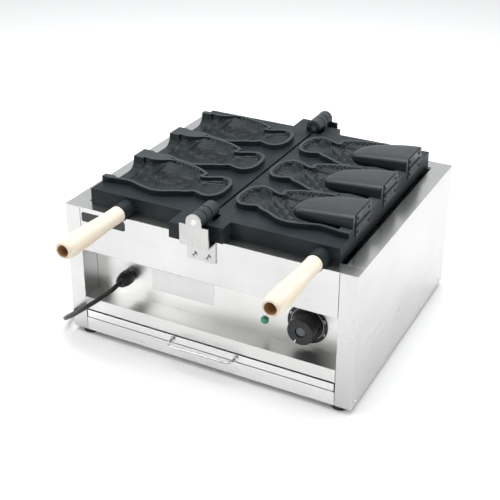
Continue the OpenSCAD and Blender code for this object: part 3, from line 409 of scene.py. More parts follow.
def feed(tree, shader, colour, rough, normal, height, bump):
    """Gives a shader its colour, roughness and normal, with a bump of so many millimetres."""
    if bump:
        normal = wire(tree, "ShaderNodeBump", {"Height": height, "Normal": normal,
                                               "Distance": bump * MM}).outputs["Normal"]
    for socket, name in ((colour, "Base Color"), (rough, "Roughness"), (normal, "Normal")):
        tree.links.new(socket, shader.inputs[name])


def finish(name, light, dark, rough, metal=0.0, cloud=12.0, bump=0.0, lines=None,
           grain_scale=1500.0, edge=0.6, edge_wear_and_highlight=0.0, lighter_tone=(1, 1, 1), gloss=0.5, others=None):
    """A material of two tones. rough is (low, high), bump and edge are in millimetres, and
    lines is the stretch of brushed lines; without it the surface has a grain."""
    material, tree, shader = plain_graph(name)
    haze = use(tree, clouds, Scale=cloud).outputs["Value"]
    edges = use(tree, soft_edges, Radius=edge * MM, Bite=edge_wear_and_highlight)
    if lines:
        surface = use(tree, brushed, Stretch=lines)
        tone = blend_of(tree, haze, 0.45, surface.outputs["Tone"])
    else:
        surface = use(tree, grain, Scale=grain_scale)
        tone = haze
    # The edge tone is partly wear and partly a painted highlight on the edges.
    colour = mix(tree, edges.outputs["Wear_and_highlight"], mix(tree, tone, light, dark), lighter_tone)
    feed(tree, shader, colour, spread(tree, tone, 0, 1, *rough), edges.outputs["Normal"],
         surface.outputs["Height"], bump)
    even = {"Metallic": metal, "Specular IOR Level": gloss, **(others or {})}
    for key, value in even.items():
        shader.inputs[key].default_value = value
    return material


# %% The metals
# Brushed sheet has its lines along the long side of each panel, so the same finish is made
# once for panels seen from the front and once for the sides and top flanges. The low strips
# and the recess get brighter copies of the same steel: painted light. The thick hinge brackets
# are a little duller.
ALONG_X, ALONG_Y = (5, 1100, 1100), (1100, 5, 1100)
sheet = dict(metal=1.0, cloud=5.0, bump=0.012, edge=0.8)
steel = dict(light=(0.67, 0.67, 0.66), dark=(0.50, 0.505, 0.50), rough=(0.20, 0.32), **sheet)
steel_across = finish("brushed_steel_across", lines=ALONG_X, **steel)
steel_along = finish("brushed_steel_along", lines=ALONG_Y, **steel)
# Painted light: brighter copies of the brushed steel for the low strips and the recess.
steel_low_lit_copy = finish("brushed_steel_low_painted_light", (0.86, 0.86, 0.85), (0.74, 0.745, 0.74), (0.2, 0.32),
                   lines=ALONG_X, **sheet)
steel_recess_lit_copy = finish("brushed_steel_recess_painted_light", (0.79, 0.79, 0.78), (0.64, 0.64, 0.63),
                      (0.28, 0.40), lines=ALONG_X, **sheet)
bracket_steel = finish("bracket_steel", (0.57, 0.57, 0.56), (0.46, 0.46, 0.45), (0.2, 0.32),
                       1.0, cloud=14, bump=0.012, edge=0.7, lines=ALONG_Y)
steel_inside = finish("plain_sheet", (0.62, 0.62, 0.61), (0.5, 0.5, 0.5), (0.35, 0.5), 1.0,
                      bump=0.01, lines=(5, 700, 700))
bright_wire = finish("polished_wire", (0.70, 0.70, 0.69), (0.58, 0.585, 0.59), (0.12, 0.22), 1.0,
                     cloud=60, edge=0.4)
screw_steel = finish("screw_steel", (0.72, 0.72, 0.71), (0.55, 0.55, 0.56), (0.2, 0.35), 1.0,
                     cloud=300, edge=0.3, bump=0.01)
sheath = finish("heater_sheath", (0.22, 0.21, 0.2), (0.12, 0.12, 0.13), (0.4, 0.6), 0.8,
                cloud=40, bump=0.02)
brass = finish("turned_brass", (0.78, 0.57, 0.25), (0.66, 0.46, 0.2), (0.25, 0.4), 1.0, cloud=80)
copper = finish("capillary_copper", (0.75, 0.38, 0.22), (0.6, 0.3, 0.18), (0.3, 0.45), 1.0,
                cloud=80)

# %% The castings, coatings and mouldings
# The castings' lighter edges: partly wear, partly a painted highlight.
coat = dict(cloud=18, bump=0.03, grain_scale=1300, edge=1.4, edge_wear_and_highlight=0.22,
            lighter_tone=(0.06, 0.070, 0.075))
casting = finish("coated_casting", (0.0165, 0.0225, 0.0250), (0.0115, 0.0160, 0.0180),
                 (0.27, 0.39), gloss=0.24, **coat)
plate_coat = finish("coated_plate", (0.0190, 0.0255, 0.0285), (0.0130, 0.0180, 0.0205),
                    (0.34, 0.46), gloss=0.15, **coat)
former_coat = finish("former_casting", (0.024, 0.029, 0.032), (0.017, 0.021, 0.024),
                     (0.26, 0.38), cloud=22, bump=0.02, grain_scale=1600, edge=0.8, edge_wear_and_highlight=0.2,
                     lighter_tone=(0.07, 0.078, 0.082), gloss=0.36)
dark_hinge = finish("dark_hinge_steel", (0.040, 0.045, 0.048), (0.028, 0.031, 0.034),
                    (0.34, 0.48), 0.35, cloud=60, bump=0.02, edge=0.4, edge_wear_and_highlight=0.5,
                    lighter_tone=(0.16, 0.17, 0.175))
rubber = finish("foot_rubber", (0.022, 0.022, 0.023), (0.035, 0.035, 0.036), (0.6, 0.8),
                cloud=50, bump=0.05, grain_scale=900, edge=1.0)
cord_rubber = finish("cord_rubber", (0.006, 0.0065, 0.007), (0.011, 0.0115, 0.012), (0.34, 0.46),
                     cloud=40, bump=0.02, grain_scale=1200, gloss=0.3)
black_plastic = finish("black_plastic", (0.010, 0.011, 0.012), (0.016, 0.017, 0.0185),
                       (0.26, 0.38), cloud=60, bump=0.02, grain_scale=2200, edge=0.8, edge_wear_and_highlight=0.2,
                       lighter_tone=(0.04, 0.04, 0.045), gloss=0.35)
white_film = finish("white_label_film", (0.98, 0.98, 0.97), (0.95, 0.955, 0.955), (0.25, 0.38),
                    cloud=30, bump=0.01, edge=0.2)
black_badge = finish("badge_enamel", (0.012, 0.013, 0.014), (0.02, 0.021, 0.023), (0.2, 0.32),
                     cloud=30, bump=0.008, edge=0.4)
ceramic = finish("steatite", (0.80, 0.77, 0.70), (0.70, 0.67, 0.6), (0.4, 0.55), cloud=60,
                 bump=0.02)
sleeve = finish("glass_sleeve", (0.72, 0.69, 0.6), (0.6, 0.57, 0.5), (0.6, 0.75), cloud=200,
                bump=0.1, grain_scale=2500)
green_lens = finish("green_lens", (0.02, 0.33, 0.17), (0.01, 0.24, 0.12), (0.08, 0.16),
                    cloud=120, edge=0.8, bump=0.01,
                    others={"Coat Weight": 0.5, "Coat Roughness": 0.05})

# %% Plate tops made lighter: painted light
rim_z = 277.3


def rub_above(material, height, lighter_tone):
    """Lightens a finish above a height of the piece's own z: painted light on the top faces at the
    rims.
    """
    tree = material.node_tree
    shader = next(n for n in tree.nodes if n.type == "BSDF_PRINCIPLED")
    old = shader.inputs["Base Color"].links[0].from_socket
    split = wire(tree, "ShaderNodeSeparateXYZ", {0: own_place(tree)})
    step = spread(tree, split.outputs["Z"], height - 0.4 * MM, height)
    patches = use(tree, clouds, Scale=35.0, Low=0.25, High=0.6).outputs["Value"]
    painted_top_light = calc(tree, "MULTIPLY", step, spread(tree, patches, 0, 1, 0.55, 1.0))
    tree.links.new(mix(tree, painted_top_light, old, lighter_tone), shader.inputs["Base Color"])


rim_local = (nodes["left_plate"].matrix_world.inverted() @ at(0, 0, rim_z)).z
# Painted light: the plates' top faces at the rims are made lighter, in patches.
rub_above(plate_coat, rim_local - 0.2 * MM, (0.046, 0.055, 0.059))
print("finishes:", len(bpy.data.materials), "rims painted_lighter above", round(rim_local, 4))

# %% [markdown]
# ## The fish in the moulds
# Each mould is one half of a fish, hollow side up: a deep belly, a shallow tail with ribs, a
# back fin whose rays reach the rim, scales, a gill cover and an eye. The CAD holds the plain
# hollow. The fish could be sculpted by hand, but a height map built from a few rules is easy to
# change, and both plates can share it: a grid of points gets a depth from its distance to the
# mould's outline, and then every feature adds or takes a little. The grid becomes the top of a
# closed solid whose lower part is sunk in the casting.

# %% The outline of one mould
tail_x, mould_l, mould_w, wall_in, plate_out = 18, 188, 117, 206, 226
slab_z, axis_z = 240.3, 277.5
mould_ys = (109, 230, 351)
mouth_end, past_wall = 43 + 4.5, 240
# The fish from the back of its head round the tail: hundredths of its length and width.
fish = [
    (91.5, -38.8), (83, -37.6), (74.5, -41.4), (65.5, -46.2), (56.5, -48.7), (48, -46.6),
    (41, -40.4), (35, -35.2), (29.5, -32), (26, -28.4), (23, -24.6), (18, -25.6),
    (12.8, -29), (7, -29), (2.8, -23.2), (0.3, -12), (0, 0), (0.8, 12), (3.2, 22.2),
    (7, 28.2), (12.2, 29.5), (18.6, 25.7), (25, 20.2), (30.6, 18.4), (33.2, 23.4),
    (31.4, 31), (37.2, 36.6), (44.7, 42.6), (53.7, 46.2), (62.8, 49.4), (70.2, 51),
    (77, 47.8), (84, 41.4), (91.5, 39)]
belly = [(tail_x + mould_l * a / 100, mould_w * b / 100, 0) for a, b in fish]
outline = smooth_route([(wall_in, -mouth_end, 0)] + belly + [(wall_in, mouth_end, 0)], 4)
edge_line = np.array([(past_wall, -mouth_end)] + [(p.x, p.y) for p in outline]
                     + [(past_wall, mouth_end)])
print("outline points:", len(edge_line))


# %% Measuring on the grid
def line_distance(x, v, line):
    """The shortest distance from each grid point to a line through points."""
    best = np.full(x.shape, 1e9)
    for (ax, av), (bx, bv) in zip(line[:-1], line[1:]):
        dx, dv = bx - ax, bv - av
        t = np.clip(((x - ax) * dx + (v - av) * dv) / (dx * dx + dv * dv + 1e-9), 0, 1)
        best = np.minimum(best, np.hypot(x - ax - t * dx, v - av - t * dv))
    return best


def inside(x, v, ring):
    """True where a grid point lies inside a closed ring of points."""
    hit = np.zeros(x.shape, bool)
    for (ax, av), (bx, bv) in zip(ring, np.roll(ring, -1, axis=0)):
        crosses = (av > v) != (bv > v)
        hit ^= crosses & (x < ax + (bx - ax) * (v - av) / (bv - av if bv != av else 1e-9))
    return hit


def ramp(value, low, high):
    """A soft step from 0 to 1 between two values."""
    t = np.clip((value - low) / (high - low), 0, 1)
    return t * t * (3 - 2 * t)


def ridge(distance, half_width):
    """A rounded bump, 1 on its line and 0 from half_width on."""
    t = np.clip(np.abs(distance) / half_width, 0, 1)
    return (1 - t * t) ** 2


# gx runs from the hinge to the mouth and gv across the fish, both in millimetres.
cell = 1.0
gx, gv = np.meshgrid(np.arange(12, 207.5, cell), np.arange(-63, 65, cell), indexing="ij")
within = inside(gx, gv, edge_line)
wall = line_distance(gx, gv, edge_line) * np.where(within, 1, -1)
print("grid:", gx.shape, "cells inside:", int(within.sum()))


# %% The fish's body as a depth below the rim
def fish_depth():
    """A deep round belly that runs out into a shallow tail and a shallow back fin."""
    toward_head = ramp(gx, 52, 112)
    floor_depth = 9.2 + 16.4 * toward_head + 1.2 * ramp(gx, 150, 200)
    wall_width = 8 + 27 * toward_head - 6 * ramp(gx, 170, 206)
    first = 5.6 - 0.6 * toward_head
    t = np.clip(wall / wall_width, 0, 1)
    bowl = first + (floor_depth - first) * np.sqrt(1 - (1 - t) ** 2)
    fin_zone = ramp(gv, 22, 34) * ramp(gx, 66, 84) * (1 - ramp(gx, 158, 182))
    fin_depth = 4.5 + 0.36 * np.clip(wall, 0, 40)
    return bowl * (1 - fin_zone) + np.minimum(bowl, fin_depth) * fin_zone


# %% Scales, and strips side by side
def distance_to(x, v):
    """Each grid point's distance to one point."""
    return np.hypot(gx - x, gv - v)


def lobes(u, pitch):
    """Rounded fingers side by side, 1 along their middles and 0 in the grooves."""
    t = np.abs(u / pitch - np.round(u / pitch)) * 2
    return 1 - t ** 2.2


def scales(x0, x1, half, size, height):
    """Rows of overlapping round scales; rows nearer the head lie on top."""
    out = np.zeros(gx.shape)
    row_step, scale_r = 0.72 * size, 0.62 * size
    for k in range(int((x1 - x0) / row_step) + 1):
        cx = x0 + k * row_step
        shift = 0.5 * size * (k % 2)
        cv = np.round((gv - shift) / size) * size + shift
        r = np.hypot((gx - cx) * 0.95, gv - cv) / scale_r
        out = np.where((r < 1) & (gx - cx < scale_r), height * r ** 2.5, out)
    zone = ramp(gx, x0 - 4, x0 + 2) * (1 - ramp(gx, x1 - 4, x1 + 3))
    return out * zone * (1 - ramp(np.abs(gv + 3), half - 5, half + 2))


def shingles(u, pitch):
    """Overlapping strips: each falls slowly along u and starts with a short steep step."""
    t = np.ceil(u / pitch) - u / pitch
    return t * (1 - ramp(t, 0.84, 1.0))


# %% Tail and back fin
def tail_ribs(pitch, bow, root_x):
    """Bowed ribs that fan out from the root of the tail, and the lobes of its edge."""
    r = distance_to(root_x, 0.5)
    far = (r - 0.6 * root_x) / (0.5 * root_x)
    angle = np.degrees(np.arctan2(gv - 0.5, root_x - gx)) - bow * (1 - far * far)
    zone = ramp(r, 0.22 * root_x, 0.36 * root_x) * (1 - ramp(gx, 60, 70))
    return shingles(angle, pitch), lobes(angle, pitch), zone


def fin_rays(pitch, x0, x1, low):
    """Long rays of the back fin, nearly level with the rim and bowed like a wing."""
    ahead = gx - 130
    u = gv + np.where(ahead < 0, 0.0027, 0.011) * ahead * ahead
    zone = ramp(gv, low, low + 6) * ramp(gx, x0, x0 + 9) * (1 - ramp(gx, x1 - 14, x1))
    return shingles(u, pitch), lobes(gx, 8.5), zone


# %% Head and side fin
def head(height):
    """Eye, gill cover and the crease behind it."""
    eye = distance_to(184, 15)
    gill = distance_to(196, -1) - 38
    cover = height * (1 - ramp(gill, -0.6, 0.9)) * ramp(gx, 140, 150)
    crease = -0.7 * height * ridge(gill - 2.2, 2.2) * (gx < 190)
    iris = 1.1 * ridge(eye - 4.8, 1.6) + 1.6 * ridge(eye, 2.6)
    return cover + crease + iris


def side_fin(height):
    """A small fan of rays behind the gill cover."""
    root_x, root_v = 158, -9
    r = distance_to(root_x, root_v)
    angle = np.degrees(np.arctan2(root_v - gv, root_x - gx))
    fan = (np.abs(angle - 18) < 34) * ramp(r, 3, 8) * (1 - ramp(r, 25, 28))
    return height * fan * (0.45 + 0.55 * lobes(angle, 12))


# %% All features of one fish
def fish_relief(side):
    """All features of one plate's fish, in millimetres above the body, and how far the lobes
    of its edge reach in from the wall."""
    if side == "left":
        ribs, edge, tail = tail_ribs(5.6, 0, 120)
        rays, notch, fin = fin_rays(6.4, 84, 172, 14)
        up = scales(66, 140, 34, 9.0, 1.2) * (1 - fin) + 1.6 * ribs * tail + 2.3 * rays * fin
        reach = 3.4 * edge * tail * (gx < 40) + 3.2 * notch * fin * (gx < 150)
    else:
        ribs, edge, tail = tail_ribs(12, 16, 84)
        rays, notch, fin = fin_rays(7.0, 74, 150, 20)
        up = scales(66, 122, 36, 19, 2.8) * (1 - fin) + 3.4 * ribs * tail + 2.6 * rays * fin
        reach = 4.6 * edge * tail * (gx < 60) + 3.6 * notch * fin
    return up + head(1.3) + side_fin(1.4), reach


def pits(side):
    """Small deep notches beside the wall, left by the sprues of the pattern."""
    if side == "left":
        return 5.0 * ridge(distance_to(95, 0.5), 3.4)
    return 9.0 * ridge(np.hypot((gx - 74) * 0.55, gv + 29), 8)


depth = fish_depth()
print("depth of the fish, mm:", round(float(depth[within].min()), 1), "to",
      round(float(depth[within].max()), 1))


# %% Where the casting itself is
def casting_height(side):
    """The casting's own height under each grid point, from rays straight down."""
    plate = nodes[side + "_plate"]
    tree = BVHTree.FromObject(plate, bpy.context.evaluated_depsgraph_get())
    to_local = plate.matrix_world.inverted()
    down = (to_local.to_3x3() @ Vector((0, 0, -1))).normalized()
    sign, above = (-1 if side == "left" else 1), rim_z + 9
    found = np.full(gx.shape, slab_z)
    for spot in np.ndindex(*gx.shape):
        start = at(sign * gx[spot], mould_ys[0] + gv[spot], above)
        hit = tree.ray_cast(to_local @ start, down)[0]
        if hit is not None:
            found[spot] = ((plate.matrix_world @ hit).z - bottom_z) / MM
    return found


def blur(value, times):
    """A soft average with the neighbours."""
    for _ in range(times):
        p = np.pad(value, 1, mode="edge")
        value = (p[1:-1, 1:-1] * 2 + p[:-2, 1:-1] + p[2:, 1:-1] + p[1:-1, :-2] + p[1:-1, 2:]) / 6
    return value


# %% From height map to closed solid
block_depth, past_edge, mouth_x = 31, 2.6, 207.3


def relief_mesh(name, top):
    """A closed solid: the grid's top, its sides straight down, and a flat underside."""
    keep = (wall > -past_edge) & (gx < mouth_x)
    cells = keep[:-1, :-1] & keep[1:, :-1] & keep[:-1, 1:] & keep[1:, 1:]
    used = np.zeros(gx.shape, bool)
    for i, j in ((0, 0), (1, 0), (0, 1), (1, 1)):
        used[i:used.shape[0] - 1 + i, j:used.shape[1] - 1 + j] |= cells
    number = np.full(gx.shape, -1)
    number[used] = np.arange(used.sum())
    points = np.stack([gx[used], gv[used], top[used]], 1) * MM
    i, j = np.nonzero(cells)
    quads = np.stack([number[i, j], number[i + 1, j], number[i + 1, j + 1], number[i, j + 1]], 1)
    mesh = bpy.data.meshes.new(name)
    mesh.from_pydata(points.tolist(), [], quads.tolist())
    form = bmesh.new()
    form.from_mesh(mesh)
    rim_edges = [e for e in form.edges if e.is_boundary]
    wall_part = bmesh.ops.extrude_edge_only(form, edges=rim_edges)["geom"]
    for vert in (g for g in wall_part if isinstance(g, bmesh.types.BMVert)):
        vert.co.z = (rim_z - block_depth) * MM
    bmesh.ops.holes_fill(form, edges=[e for e in form.edges if e.is_boundary])
    bmesh.ops.recalc_face_normals(form, faces=form.faces)
    form.to_mesh(mesh)
    form.free()
    for face in mesh.polygons:
        face.use_smooth = face.normal.z > 0.05
    return mesh


# %% Put on finish and body
def dress(piece, material):
    """Gives one material to all of a piece's slots."""
    if not piece.material_slots:
        piece.data.materials.append(material)
    for s in piece.material_slots:
        s.material = material


def fit_out(piece, body, slot, material, *stands_for):
    """Finish, body and the CAD nodes that a piece stands for; slot is not used."""
    dress(piece, material)
    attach(piece, body)
    if stands_for:
        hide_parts(*stands_for)
    return piece


# %% The fish, front to back
row = ("front", "middle", "rear")


def lay_relief(side):
    """Puts the same fish in the three moulds of a plate; the left plate's fish is mirrored.
    It stays a little above the casting's own surface wherever the casting is hollow."""
    lobe_top, rim_top, outer_top = rim_z - 0.6, rim_z - 0.5, rim_z - 6.5
    ground = casting_height(side)
    hollow = ground < rim_z - 5
    body = np.where(hollow, np.maximum(rim_z - depth, ground + 0.5), rim_z - depth)
    body = np.where(hollow, np.maximum(blur(body, 6), ground + 0.3), body)
    up, reach = fish_relief(side)
    top = np.where(hollow, np.maximum(body + up - pits(side), ground + 0.15), body + up)
    lobe = (1 - ramp(wall, reach - 0.4, reach + 1.3)) * ramp(reach, 0.2, 0.9)
    top += (lobe_top - top) * lobe
    top = np.where(within, top, outer_top)
    mesh = relief_mesh(side + "_fish", np.minimum(top, rim_top))
    if side == "left":
        mesh.transform(Matrix.Scale(-1, 4, (1, 0, 0)))
        mesh.flip_normals()
    for name, y in zip(row, mould_ys):
        piece = add_object(f"{side}_fish_{name}", mesh)
        piece.location = at(0, y, 0)
        fit_out(piece, side + "_plate", "coated_casting", casting)
    print(side, "fish:", len(mesh.polygons), "faces")


lay_relief("left")
lay_relief("right")

# %% [markdown]
# ## Turned parts
# Grips, knob, cap, lamp and gland nut are round about one axis, as they come off a lathe or out
# of a round mould. A lathe function turns a profile of (radius, height) points; corners that a
# hand would feel get a few points of a small arc. Flutes are one more number: the radius may
# swell and shrink round the turn.

# %% The lathe
def fillet(corner, before, after, radius, steps=5):
    """Points that round the corner between two neighbouring profile points."""
    c, a, b = Vector(corner), Vector(before), Vector(after)
    start, end = c + (a - c).normalized() * radius, c + (b - c).normalized() * radius
    out = []
    for k in range(steps + 1):
        t = k / steps
        out.append(tuple((1 - t) ** 2 * start + 2 * t * (1 - t) * c + t * t * end))
    return out


def rounded(profile, radii):
    """A profile whose corners are rounded; radii gives the fillet at some of its points."""
    out = []
    for i, point in enumerate(profile):
        r = radii.get(i, 0)
        out += fillet(point, profile[i - 1], profile[i + 1], r) if r else [point]
    return out


def close_up(piece, sharp=None):
    """Joins doubled points, fills open ends and turns the faces outwards. sharp, in degrees,
    is the angle above which an edge of a smooth piece still shows."""
    form = bmesh.new()
    form.from_mesh(piece.data)
    bmesh.ops.remove_doubles(form, verts=form.verts, dist=1e-7)
    bmesh.ops.holes_fill(form, edges=[e for e in form.edges if e.is_boundary])
    bmesh.ops.recalc_face_normals(form, faces=form.faces)
    form.to_mesh(piece.data)
    form.free()
    if sharp:
        piece.data.shade_smooth()
        piece.data.set_sharp_from_angle(angle=radians(sharp))
    return piece


def lathe(name, profile, origin, axis, sides, flute=lambda angle, height: 1):
    """Turns a profile in millimetres about an axis from origin; flute scales the radius."""
    points = []
    for r, h in profile:
        for a in circle(sides):
            f = r * flute(a, h)
            points.append((f * cos(a) * MM, f * sin(a) * MM, h * MM))
    piece = close_up(mesh_piece(name, points, ring_faces(len(profile), sides)), 38)
    piece.rotation_mode = "QUATERNION"
    piece.rotation_quaternion = Vector(axis).to_track_quat("Z", "Y")
    piece.location = origin
    return piece


# %% [markdown]
# ### Wooden grips
# Pale, fine-grained turned wood, sanded and left bare. The grain runs along the grip, so the
# noise is stretched along the piece's own z axis. A few darker pores lie in the same direction.
# Each grip's end is bored out wide, and a thin turned lining in there carries a darker wood:
# painted shade of the deep bore.

# %% Wood
pale_wood, tree, shader = plain_graph("pale_turned_wood")
own = own_place(tree)
rings = noise(tree, stretched(tree, own, (170, 60, 3.5)), 1.0, 3.0, Distortion=0.8)
pores = noise(tree, stretched(tree, own, (1500, 1500, 38)), 1.0, 2.0)
band = spread(tree, rings, 0.35, 0.68)
wood = mix(tree, band, (0.80, 0.73, 0.63), (0.72, 0.61, 0.47))
wood = mix(tree, calc(tree, "MULTIPLY", spread(tree, pores, 0.60, 0.74), 0.35), wood,
           (0.60, 0.46, 0.31))
softened = use(tree, soft_edges, Radius=0.0012, Bite=0.0).outputs["Normal"]
feed(tree, shader, wood, spread(tree, band, 0, 1, 0.42, 0.56), softened, pores, 0.04)
# Painted shade: the lining's darker wood stands for the shade inside the bore.
bore_shade_lining = finish("bore_painted_shade", (0.56, 0.36, 0.19), (0.42, 0.25, 0.12), (0.5, 0.7), cloud=50,
                   bump=0.03)

# %% Turn both grips
grip_r, grip_l, bore_r, bore_l, rod_r = 14.0, 148.0, 10.0, 25.0, 4.05
grip_x = {"left": -154, "right": 196}
socket_y, rod_drop, socket_l = 22, 30, 27
grip_tilt = radians(1)
handle_axis = Vector((0, -cos(grip_tilt), sin(grip_tilt)))
# The grip's outline: shares of its length, and radii.
swell = [(0.02, 14.0), (0.12, 13.8), (0.27, 14.1), (0.5, 15.6), (0.7, 16.8), (0.8, 17.0),
         (0.9, 16.5), (0.965, 15.1), (0.985, 14.2)]
long_side = [(p.y, grip_l * p.x) for p in smooth_route([(a, b, 0) for a, b in swell], 4)]
grip_profile = ([(rod_r, 0), (grip_r - 1.6, 0)]
                + fillet((grip_r, 0), (grip_r - 2, 0), (grip_r, 3), 1.6)
                + long_side[1:]
                + fillet((12.9, grip_l), (14.2, grip_l - 2.2), (bore_r, grip_l), 1.3)
                + fillet((bore_r, grip_l), (grip_r, grip_l), (bore_r, grip_l - 9), 1.0)
                + [(bore_r - 0.3, grip_l - bore_l), (rod_r, grip_l - bore_l), (rod_r, 0)])
bore_floor = grip_l - bore_l + 0.3
bore_profile = [(bore_r - 0.35, bore_floor), (bore_r - 0.15, grip_l - 1.2),
                (bore_r + 0.35, grip_l - 1.6), (bore_r + 0.35, bore_floor),
                (bore_r - 0.35, bore_floor)]
for side, x in grip_x.items():
    start = at(x, socket_y, axis_z - rod_drop) + handle_axis * socket_l * MM
    grip = lathe(side + "_wood_grip", grip_profile, start, handle_axis, 80)
    fit_out(grip, side + "_plate", "pale_wood", pale_wood, side + "_grip")
    bore = lathe(side + "_bore_shade_lining", bore_profile, start, handle_axis, 64)
    fit_out(bore, side + "_plate", "pale_wood", bore_shade_lining)
print("grip points:", len(grip_profile))

# %% [markdown]
# ### Knob, dial and lamp
# The thermostat's knob is a smooth black drum with a white pointer mark and a dark grey cap in
# its middle. The dial behind it carries small dots and plain numbers. The numbers are text
# objects turned to mesh, so that they are real raised print.

# %% Knob and cap
dial_x, dial_z, panel_y, ring_thick, knob_gap = 169, 109, 40, 1.2, 2
knob_at = at(dial_x, panel_y - knob_gap, dial_z)
toward_user = Vector((0, -1, 0))
print_white = finish("dial_print", (0.92, 0.92, 0.90), (0.85, 0.85, 0.84), (0.4, 0.5), cloud=200,
                     edge=0.1)
cap_grey = finish("cap_plastic", (0.10, 0.106, 0.116), (0.07, 0.075, 0.082), (0.25, 0.35),
                  cloud=200, edge=0.3)
knob_profile = rounded(
    [(0, 0), (24.5, 0), (24.5, 3), (23.5, 3.6), (22.9, 28), (9.0, 27.7), (8.55, 24.2), (0, 24.2)],
    {1: 0.5, 2: 0.6, 3: 0.5, 4: 2.2, 5: 0.5})
fit_out(lathe("dial_knob", knob_profile, knob_at, toward_user, 128), "knob", "black_knob",
        black_plastic, "knob")
cap_profile = rounded([(0, 24.3), (8.3, 24.3), (8.3, 25.6), (6.9, 26.0), (6.5, 25.6), (0, 25.5)],
                      {2: 0.4, 3: 0.25, 4: 0.2})
fit_out(lathe("knob_centre", cap_profile, knob_at, toward_user, 72), "knob", "grey_cap", cap_grey,
        "knob_cap")


def flat_mark(name, corners, thick):
    """A thin printed mark on the dial's plane: corners are (x, z) millimetres from its middle."""
    n = len(corners)
    points = [(a * MM, h * MM, b * MM) for h in (0, -thick) for a, b in corners]
    faces = [tuple(range(n)), tuple(range(2 * n - 1, n - 1, -1))]
    faces += [(k, k + n, (k + 1) % n + n, (k + 1) % n) for k in range(n)]
    return close_up(mesh_piece(name, points, faces, smooth=False))


pointer_angle, pointer_out = radians(25), 27.75
down = Vector((-sin(pointer_angle), -cos(pointer_angle)))
sideways = Vector((down.y, -down.x))
corners = [tuple(down * r + sideways * w)
           for r, w in ((21.6, 1.5), (16.2, 0.45), (16.2, -0.45), (21.6, -1.5))]
pointer = flat_mark("knob_pointer", corners, 0.25)
pointer.location = knob_at + toward_user * pointer_out * MM
fit_out(pointer, "knob", "white_plate", print_white)

# %% Dial marks
def ring_dots(count, first, last, radius, dot_r):
    """Corner lists of small round dots along an arc; angles in degrees from straight up."""
    for k in range(count):
        a = radians(first + (last - first) * k / (count - 1))
        cx, cz = radius * sin(a), radius * cos(a)
        yield [(cx + dot_r * cos(t * pi / 5), cz + dot_r * sin(t * pi / 5))
               for t in range(10)]


number_r, number_size, print_h = 31.9 * MM, 4.3 * MM, 0.06 * MM
first_number, number_step = -112, 45
dots = ring_dots(37, -135, 135, 28.6, 0.8)
marks = [flat_mark(f"dot_{k}", dot, 0.12) for k, dot in enumerate(dots)]
for k, label in enumerate((50, 100, 150, 200, 250, 300)):
    a = radians(first_number + number_step * k)
    text = bpy.data.curves.new(f"number_{label}", "FONT")
    text.body, text.size, text.extrude = str(label), number_size, print_h
    text.align_x, text.align_y = "CENTER", "CENTER"
    holder = add_object(f"number_{label}", text)
    bpy.context.view_layer.update()
    mesh = bpy.data.meshes.new_from_object(holder)
    bpy.data.objects.remove(holder)
    turn = Matrix.Rotation(radians(90), 4, "X") @ Matrix.Rotation(-a, 4, "Z")
    place = (number_r * sin(a), -print_h, number_r * cos(a))
    mesh.transform(Matrix.Translation(place) @ turn)
    marks.append(add_object(f"number_{label}", mesh))


def join(name, parts):
    """One object from several, all in the first one's place."""
    with bpy.context.temp_override(active_object=parts[0], selected_editable_objects=parts):
        bpy.ops.object.join()
    parts[0].name = parts[0].data.name = name
    return parts[0]


dial_marks = join("dial_marks", marks)
dial_marks.location = at(dial_x, panel_y - ring_thick, dial_z)
fit_out(dial_marks, "cabinet", "white_plate", print_white)
print("dial marks:", len(dial_marks.data.polygons), "faces")

# %% Pilot lamp
lens_profile = rounded([(0, 0), (7.0, 0), (7.0, 2.2), (5.6, 4.8), (3.4, 5.4), (0, 5.6)],
                       {1: 0.3, 2: 0.8, 3: 0.7})
lens_at = at(93, panel_y, 94)
lens = lathe("pilot_lens", lens_profile, lens_at, toward_user, 96,
             lambda a, h: 1 - (0.05 if h < 4.9 else 0.02) * (1 - abs(cos(6 * a))))
fit_out(lens, "cabinet", "green_lens", green_lens, "lamp_lens")

# %% [markdown]
# ### Cord gland
# The nylon gland clamps the cord: a ribbed nut that fingers can turn, a dome, and a short
# tapered sleeve that keeps the cord from kinking at the edge.

# %% Gland nut and sleeve
nut_profile = rounded([(8.2, 6.3), (12.6, 6.3), (13.0, 7.4), (13.0, 19.5), (11.8, 21.5),
                       (10.6, 28.5), (7.8, 33.8), (5.2, 35), (4.1, 35), (4.1, 8)],
                      {1: 0.4, 3: 0.8, 5: 2.5, 6: 1.2})
gland_at = at(-167, panel_y, 108)
nut = lathe("ribbed_gland_nut", nut_profile, gland_at, toward_user, 144,
            lambda a, h: 1 - (0.05 if 7.5 < h < 20.5 else 0.0) * (0.5 - 0.5 * cos(18 * a)))
fit_out(nut, "cabinet", "gland_black", black_plastic, "gland_nut")

# %% [markdown]
# ## Mouth formers
# A former is a smooth casting: an upright band of about ten millimetres, then a dome that is
# highest at the mouth and sinks to the nose. It is lofted: one outline, seen from above, is
# repeated at growing heights and shrunk towards its end face, and the rings are joined by faces.

# %% Loft the three formers
former_l, former_w, former_low = 104, 79, 13
former_plan = [(0, -50), (25, -49.4), (58, -48.7), (88, -48), (95, -46.5), (99.5, -41),
               (101, -28), (99, -10), (93, 8), (82, 22), (67, 33), (48, 42), (27, 48), (0, 50)]
former_line = smooth_route([(plate_out - former_l * a / 100, former_w * b / 100, 0)
                            for a, b in former_plan], 5)


def ring_rows(rows, steps):
    """Rows of four numbers, with smooth steps between them."""
    first = smooth_route([(r[0], r[1], 0) for r in rows], steps)
    second = smooth_route([(r[2], r[3], 0) for r in rows], steps)
    return [(p.x, p.y, q.x, q.y) for p, q in zip(first, second)]


